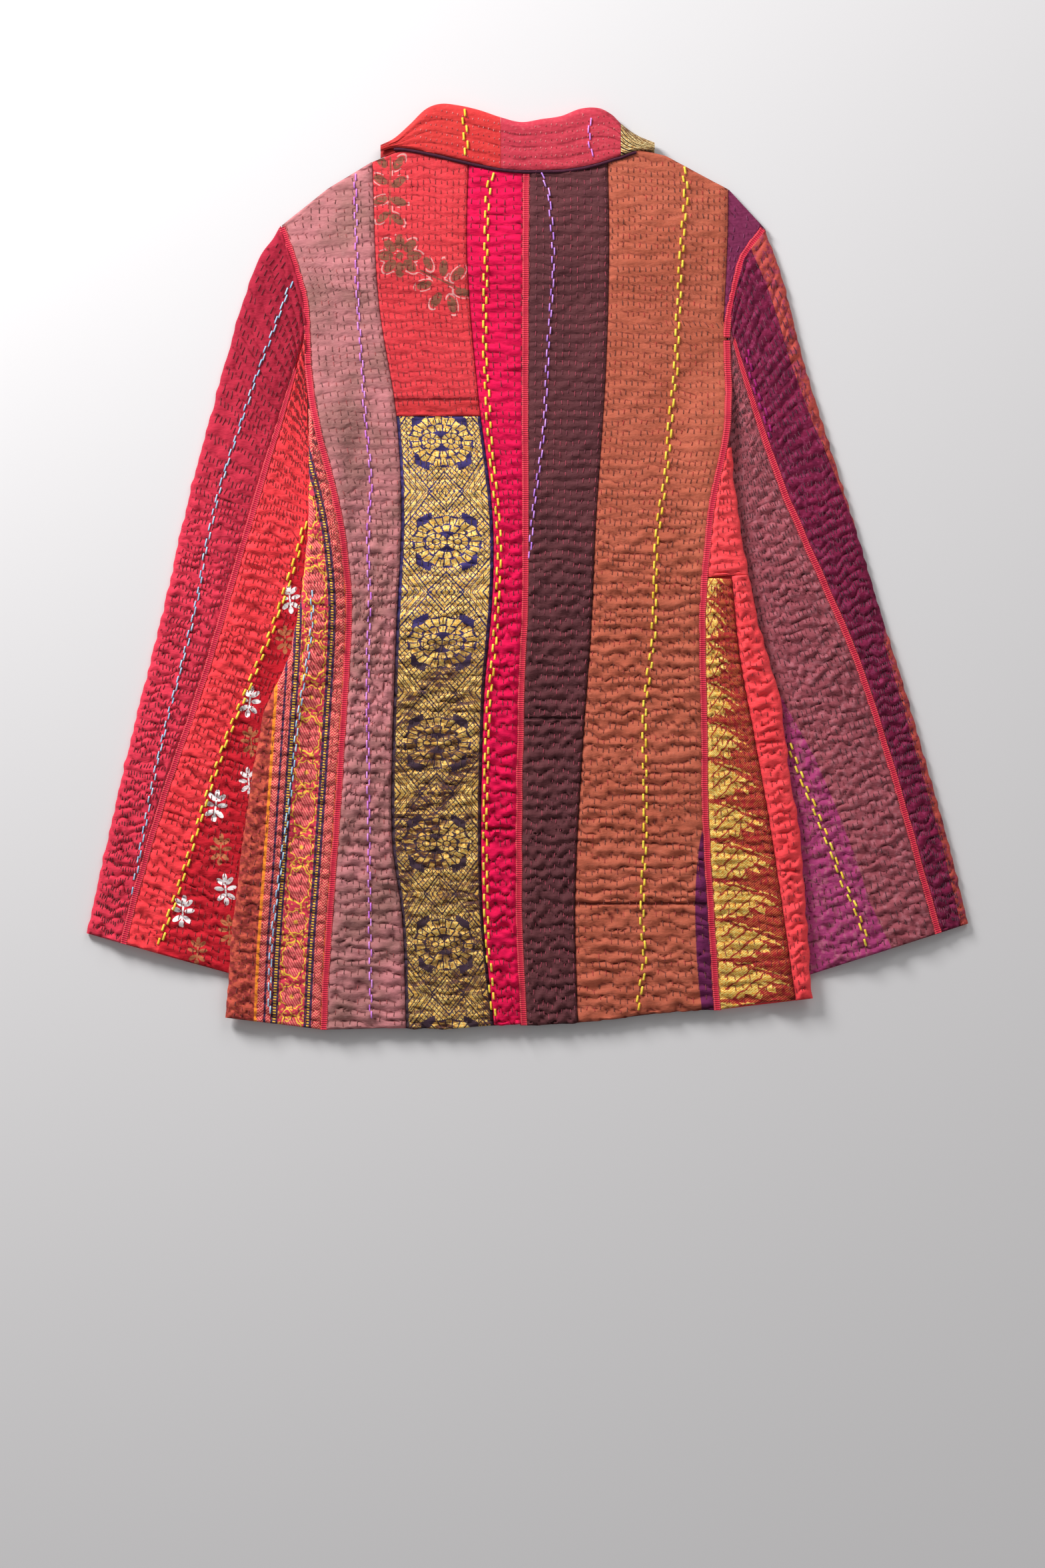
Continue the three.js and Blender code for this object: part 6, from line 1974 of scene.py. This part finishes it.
class Back:
    """The patchwork back: seven strips, the fronts below it and the gores beside it."""

    def strips(self) -> list[Strip]:
        """The strips from left to right."""
        wedge = Line(WEDGE_ROWS)
        return [
            Strip("mauve", "back_mauve", MAUVE, ("#683836", "#ba5456"), Quilt(2),
                  LEFT_EDGE, MAUVE_SEAM, ends=(282, 334, -382, -381), taped=(True, False)),
            FlowerStrip("floral", "back_floral", FLORAL, ("#96242e", "#c43c40"),
                        Quilt(5, upper=0.8), MAUVE_SEAM, CRIMSON_SEAM, hem=level_at(BROCADE_TOP_Y),
                        ends=(334, 337, BROCADE_TOP_Y, BROCADE_TOP_Y), seams=(BAND_TOP_Y,),
                        row_step=1.15, column_step=1.3),
            Strip("brocade", "back_brocade", BROCADE, ("#603e28", "#3c283c"),
                  Quilt(8, upper=1.2, lower=1.9), MAUVE_SEAM, CRIMSON_SEAM,
                  top=level_at(BROCADE_TOP_Y), ends=(BROCADE_TOP_Y, BROCADE_TOP_Y, -381, -378.4)),
            Strip("crimson", "back_crimson", CRIMSON, (DARK_THREAD, "#96183c"),
                  Quilt(14, upper=1.4, lower=2.7, pitch_lower=10.6), CRIMSON_SEAM, CENTRE_SEAM,
                  ends=(337, 335, -378.4, -378.4), seams=(-216,), column_step=2.0,
                  taped=(False, True)),
            Strip("plum", "back_plum", PLUM, ("#b03e54", "#783242"), Quilt(21),
                  CENTRE_SEAM, RUST_SEAM, ends=(335, 351, -378.4, -377), seams=(-125,),
                  taped=(True, False)),
            Strip("rust", "back_rust", RUST, ("#6e382c", "#c43c38"),
                  Quilt(27, upper=1.0), RUST_SEAM, RUST_EDGE, ends=(351, 312, -377, -366),
                  seams=(-278,), taped=(False, True),
                  zone=lambda x, y: np.minimum(x - wedge(y), -212 - y)),
            Strip("purple", "back_purple", PURPLE, ("#963c6e", "#5a1446"),
                  Quilt(33, upper=0.5), Line(PURPLE_ROWS), RIGHT_EDGE, hem=level_at(PURPLE_END_Y),
                  ends=(312, 280, PURPLE_END_Y, PURPLE_END_Y), taped=(False, True)),
        ]

    def fronts(self) -> list[Strip]:
        """The two fronts, flat below the back, each with half of the neck opening."""
        neck = from_left(FRONT_NECK_ROWS)
        top = from_left([(x, float(min(TOP_EDGE(x), neck(x)) if -88 < x < 66 else TOP_EDGE(x)))
                         for x in np.linspace(-203, 196, 120)])
        shared = {"top": top, "layer": LIE.ground, "row_step": 3, "column_step": 8}

        def centre(gap: float) -> Curve:
            """The centre front, moved by half of the opening."""
            return lambda y: CENTRE_SEAM(y) + gap

        return [
            Strip(f"front_{side}_cloth", f"front_{side}", FRONT, (DARK_THREAD, DARK_THREAD),
                  Quilt(seed, upper=0.35, lower=0.5), *edges, ends=ends, **shared)
            for side, seed, edges, ends in (
                ("left", 41, (LEFT_EDGE, centre(-1.5)), (282, 294, -382, -378.4)),
                ("right", 47, (centre(1.5), RIGHT_EDGE), (294, 280, -378.4, -366)))]

    def gores(self) -> list[Panel]:
        """The side gores and the leaf patch."""
        left_fold = Wavy(Line(LEFT_FOLD_ROWS, curved=False), 81, 0.6)
        right_fold = Wavy(Line(RIGHT_FOLD_ROWS, curved=False), 83, 0.8)
        coral_threads = ("#aa1e2c", "#8c1e28")
        return [
            Gore("side_paisley", "side_left", BORDER, ("#78282c", "#be3c3c"),
                 Quilt(53, lower=1.7), LEFT_EDGE, left_fold, -372, LEFT_GORE_TOP, LEFT_GORE_TOP,
                 LEFT_HEM_Y),
            Gore("side_coral_upper", "side_right_upper", CORAL, coral_threads,
                 Quilt(59, upper=1.6, lower=2.2), RIGHT_EDGE, right_fold, -356, RIGHT_GORE_TOP,
                 RIGHT_GORE_TOP, LEAF_TOP_Y + HALF_GAP),
            Gore("side_coral", "side_right", CORAL, coral_threads, Quilt(61, lower=2.5), RIGHT_EDGE,
                 right_fold, -356, RIGHT_GORE_TOP, LEAF_TOP_Y - HALF_GAP, RIGHT_HEM_Y, LEAF_EDGE,
                 seams=(-145, -251)),
            Strip("leaf", "leaf_patch", LEAVES, ("#961e24", "#b03c28"),
                  Quilt(67, lower=1.8), RIGHT_EDGE, LEAF_EDGE,
                  top=from_left([(140, LEAF_TOP_Y), (180, LEAF_TOP_Y - 1.5)]),
                  ends=(LEAF_TOP_Y, LEAF_TOP_Y, -366, -358), taped=(True, False)),
        ]

    def build(self) -> list[Piece]:
        """Makes all pieces of the body and returns those that stitches may lie on."""
        for strip in self.fronts():
            strip.build([])
        return (sewn(self.strips(), ["front_left", "front_right"])
                + sewn(self.gores(), ["sleeve_left_inner", "sleeve_right_inner"]))


def sewn(panels: Sequence[Panel], rests_on: Sequence[str]) -> list[Piece]:
    """Makes each piece with its kantha stitches and returns the pieces."""
    made = []
    for panel in panels:
        made.append(panel.build(rests_on))
        panel.stitches()
    return made


class Sleeves:
    """Both sleeves, each of an outer and an inner piece."""

    left = SleeveShape(-1, LEFT_ARM_ROWS, LEFT_OUTER_ROWS, LEFT_INNER_ROWS, LEFT_TOP_SEAM_ROWS)
    right = SleeveShape(1, RIGHT_ARM_ROWS, RIGHT_OUTER_ROWS, RIGHT_INNER_ROWS, RIGHT_TOP_SEAM_ROWS)

    def pieces(self) -> list[SleevePiece]:
        """The outer and the inner piece of each sleeve."""
        rust_print = Line(RUST_PRINT_ROWS, curved=False)
        sprig_edge = Line(SPRIG_EDGE_ROWS)
        violet_edge = Line(VIOLET_EDGE_ROWS, curved=False)

        def piece(name: str, node: str, cloth: Cloth, threads: tuple[Colour, Colour], seed: int,
                  *shape: object, zone: Curve | None = None) -> SleevePiece:
            """A piece with the quilting that both sleeves share."""
            quilt = Quilt(seed, upper=1.5, lower=1.9, pitch_upper=7.8, pitch_lower=9.0, waist=(60, 260))
            return SleevePiece(name, node, cloth, threads, quilt, *shape, zone=zone, stitched=0.85)

        return [
            piece("left_red", "sleeve_left_outer", RED_SLEEVE, (DARK_THREAD, "#8c1e32"), 71,
                  self.left, True),
            piece("left_printed", "sleeve_left_inner", SPRIGS, ("#8c1822", "#a02828"),
                  73, self.left, False, SPRIG_STAMPS,
                  zone=lambda x, y: np.minimum(x - sprig_edge(y), 60 - y)),
            piece("right_purple", "sleeve_right_outer", RUST_SLEEVE,
                  ("#460e30", "#963c5a"), 79, self.right, True,
                  zone=lambda x, y: x - rust_print(y)),
            piece("right_wine", "sleeve_right_inner", WINE_SLEEVE,
                  ("#54222e", "#a03c4a"), 83, self.right, False,
                  zone=lambda x, y: np.minimum(violet_edge(y) - x, -90 - y)),
        ]

    def build(self) -> list[Piece]:
        """Makes the sleeves and returns what stitches may lie on."""
        return sewn(self.pieces(), [])

    def tape(self, name: str, shape: SleeveShape, start: float) -> Piece:
        """The tape along the top seam of a sleeve."""

        def spot(v: Array, offset: Array) -> tuple[Array, Array]:
            """The place beside the top seam."""
            return shape.place(v, shape.seam_share(v) + offset / shape.width(v))

        rows = np.linspace(start, 1, 260)
        share = shape.seam_share(rows)
        wide = shape.width(rows)
        high = DOUBLE + shape.crown(rows, share * wide, (1 - share) * wide)
        table = from_left([(float(y), float(z)) for y, z in zip(spot(rows, rows * 0)[1], high)])
        return Tape(name).build(spot, lambda x, y: table(y), rows)


def body_tapes() -> None:
    """The tapes over the centre back, the side seams and the armholes."""

    def on_back(x: Array, y: Array) -> Array:
        """Height of the back's upper face beside a seam."""
        return LIE.back(x, y) + WALL - 0.2

    def at_armhole(x: Array, y: Array) -> Array:
        """Height of the sleeve's upper face at the armhole."""
        return np.full(np.shape(x), DOUBLE - 0.2)

    for name, seam, top, hem, rows in (("tape_centre", CENTRE_SEAM, 326, -378.4, 360),
                                       ("tape_side_left", LEFT_EDGE, 167, LEFT_HEM_Y, 280),
                                       ("tape_side_right", RIGHT_EDGE, 187, RIGHT_HEM_Y, 280)):
        Tape(name).build(beside_line(seam, top, hem), on_back, np.linspace(0, 1, rows))
    for name, rows in (("tape_armhole_left", LEFT_ARM_ROWS), ("tape_armhole_right", RIGHT_ARM_ROWS)):
        share = np.linspace(0.015, 0.985, 64)
        Tape(name).build(beside_line(Line(rows), rows[0][1], rows[-1][1]), at_armhole, share)


@dataclass(frozen=True)
class Studio:
    """The pale surface, the soft light and the camera above them."""

    middle: tuple[float, float] = (-0.0039, -0.1793)
    frame_height: float = 1.294
    lens: float = 85.0
    sensor: float = 36.0
    floor_half: float = 6.0
    lights: tuple[tuple[str, Sequence[float], float, float], ...] = (
        ("key", (-1.3, 1.5, 1.02), 0.7, 63), ("top", (0.9, 1.9, 1.5), 1.4, 18))

    def camera(self) -> None:
        """A camera that looks straight down, as the photograph does."""
        data = bpy.data.cameras.new("camera")
        data.lens = self.lens
        data.sensor_width = self.sensor
        made = placed("camera", data)
        made.location = (*self.middle, self.frame_height * self.lens / self.sensor + 0.006)
        bpy.context.scene.camera = made

    def lamp(self, name: str, place: Sequence[float], size: float, power: float) -> None:
        """A square light that points at the jacket."""
        data = bpy.data.lights.new(name, "AREA")
        data.size = size
        data.energy = power
        made = placed(name, data)
        made.location = place
        aim = Vector((0.0, -0.05, 0.0)) - Vector(place)
        made.rotation_euler = aim.to_track_quat("-Z", "Y").to_euler()

    def floor(self) -> None:
        """The surface that the jacket lies on."""
        wide = self.floor_half
        mesh = bpy.data.meshes.new("floor")
        mesh.from_pydata([(-wide, -wide, 0), (wide, -wide, 0), (wide, wide, 0), (-wide, wide, 0)], [],
                         [(0, 1, 2, 3)])
        mesh.materials.append(Paint("pale_floor").finish("#dedcdd", 0.9, None, 0.0))
        placed("floor", mesh)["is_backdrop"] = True

    def build(self) -> None:
        """Sets up the whole studio."""
        scene = bpy.context.scene
        scene.view_settings.view_transform = "Standard"
        world = bpy.data.worlds.new("studio")
        world.use_nodes = True
        sky = next(node for node in world.node_tree.nodes if node.type == "BACKGROUND")
        sky.inputs["Color"].default_value = (1.0, 1.0, 1.0, 1.0)
        sky.inputs["Strength"].default_value = 0.3
        scene.world = world
        self.camera()
        self.floor()
        for light_values in self.lights:
            self.lamp(*light_values)


class CollarEnds:
    """The hidden ends of the collar, which keep their solids and get their cloth."""

    nodes = {"collar_end_left": COLLAR_RED, "collar_end_right": COLLAR_GOLD}

    def dress(self) -> None:
        """Puts a cloth with noise and weave on each solid."""
        for name, cloth in self.nodes.items():
            paint = Paint(f"{name}_cloth")
            colour = paint.mix(paint.noise(20, 3).rise(0.3, 0.7) * 0.5, cloth.main, cloth.dark)
            material = paint.finish(colour, 0.85, paint.noise(1.2, 2), 0.3, sheen=0.15)
            materials = bpy.data.objects[name].data.materials
            materials.clear()
            materials.append(material)


def main(box: list[list[float]]) -> None:
    """Builds the dressed jacket.

    Args:
        box: Lowest and highest corner of the solids; not used.
    """
    logging.basicConfig(level=logging.INFO, format="%(message)s")
    Studio().build()
    sleeves = Sleeves()
    carriers = Back().build()
    carriers += sleeves.build()
    body_tapes()
    sleeves.tape("tape_sleeve_left", sleeves.left, 0.065)
    sleeves.tape("tape_sleeve_right", sleeves.right, 0.04)
    collar = Collar()
    carriers.append(collar.build("collar_red", COLLAR_RED, -121, -22))
    carriers.append(collar.build("collar_rose", COLLAR_ROSE, -22 + HALF_GAP, 77))
    carriers.append(collar.build("collar_gold", COLLAR_GOLD, 77 + HALF_GAP, 105))
    collar.stitches()
    collar.piping()
    CollarEnds().dress()
    bpy.context.view_layer.update()
    for line in RUNNING:
        line.build(carriers)
        logging.info("%s: laid", line.name)
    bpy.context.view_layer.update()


if __name__ == "__main__":
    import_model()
    main([list(corner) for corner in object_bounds()])
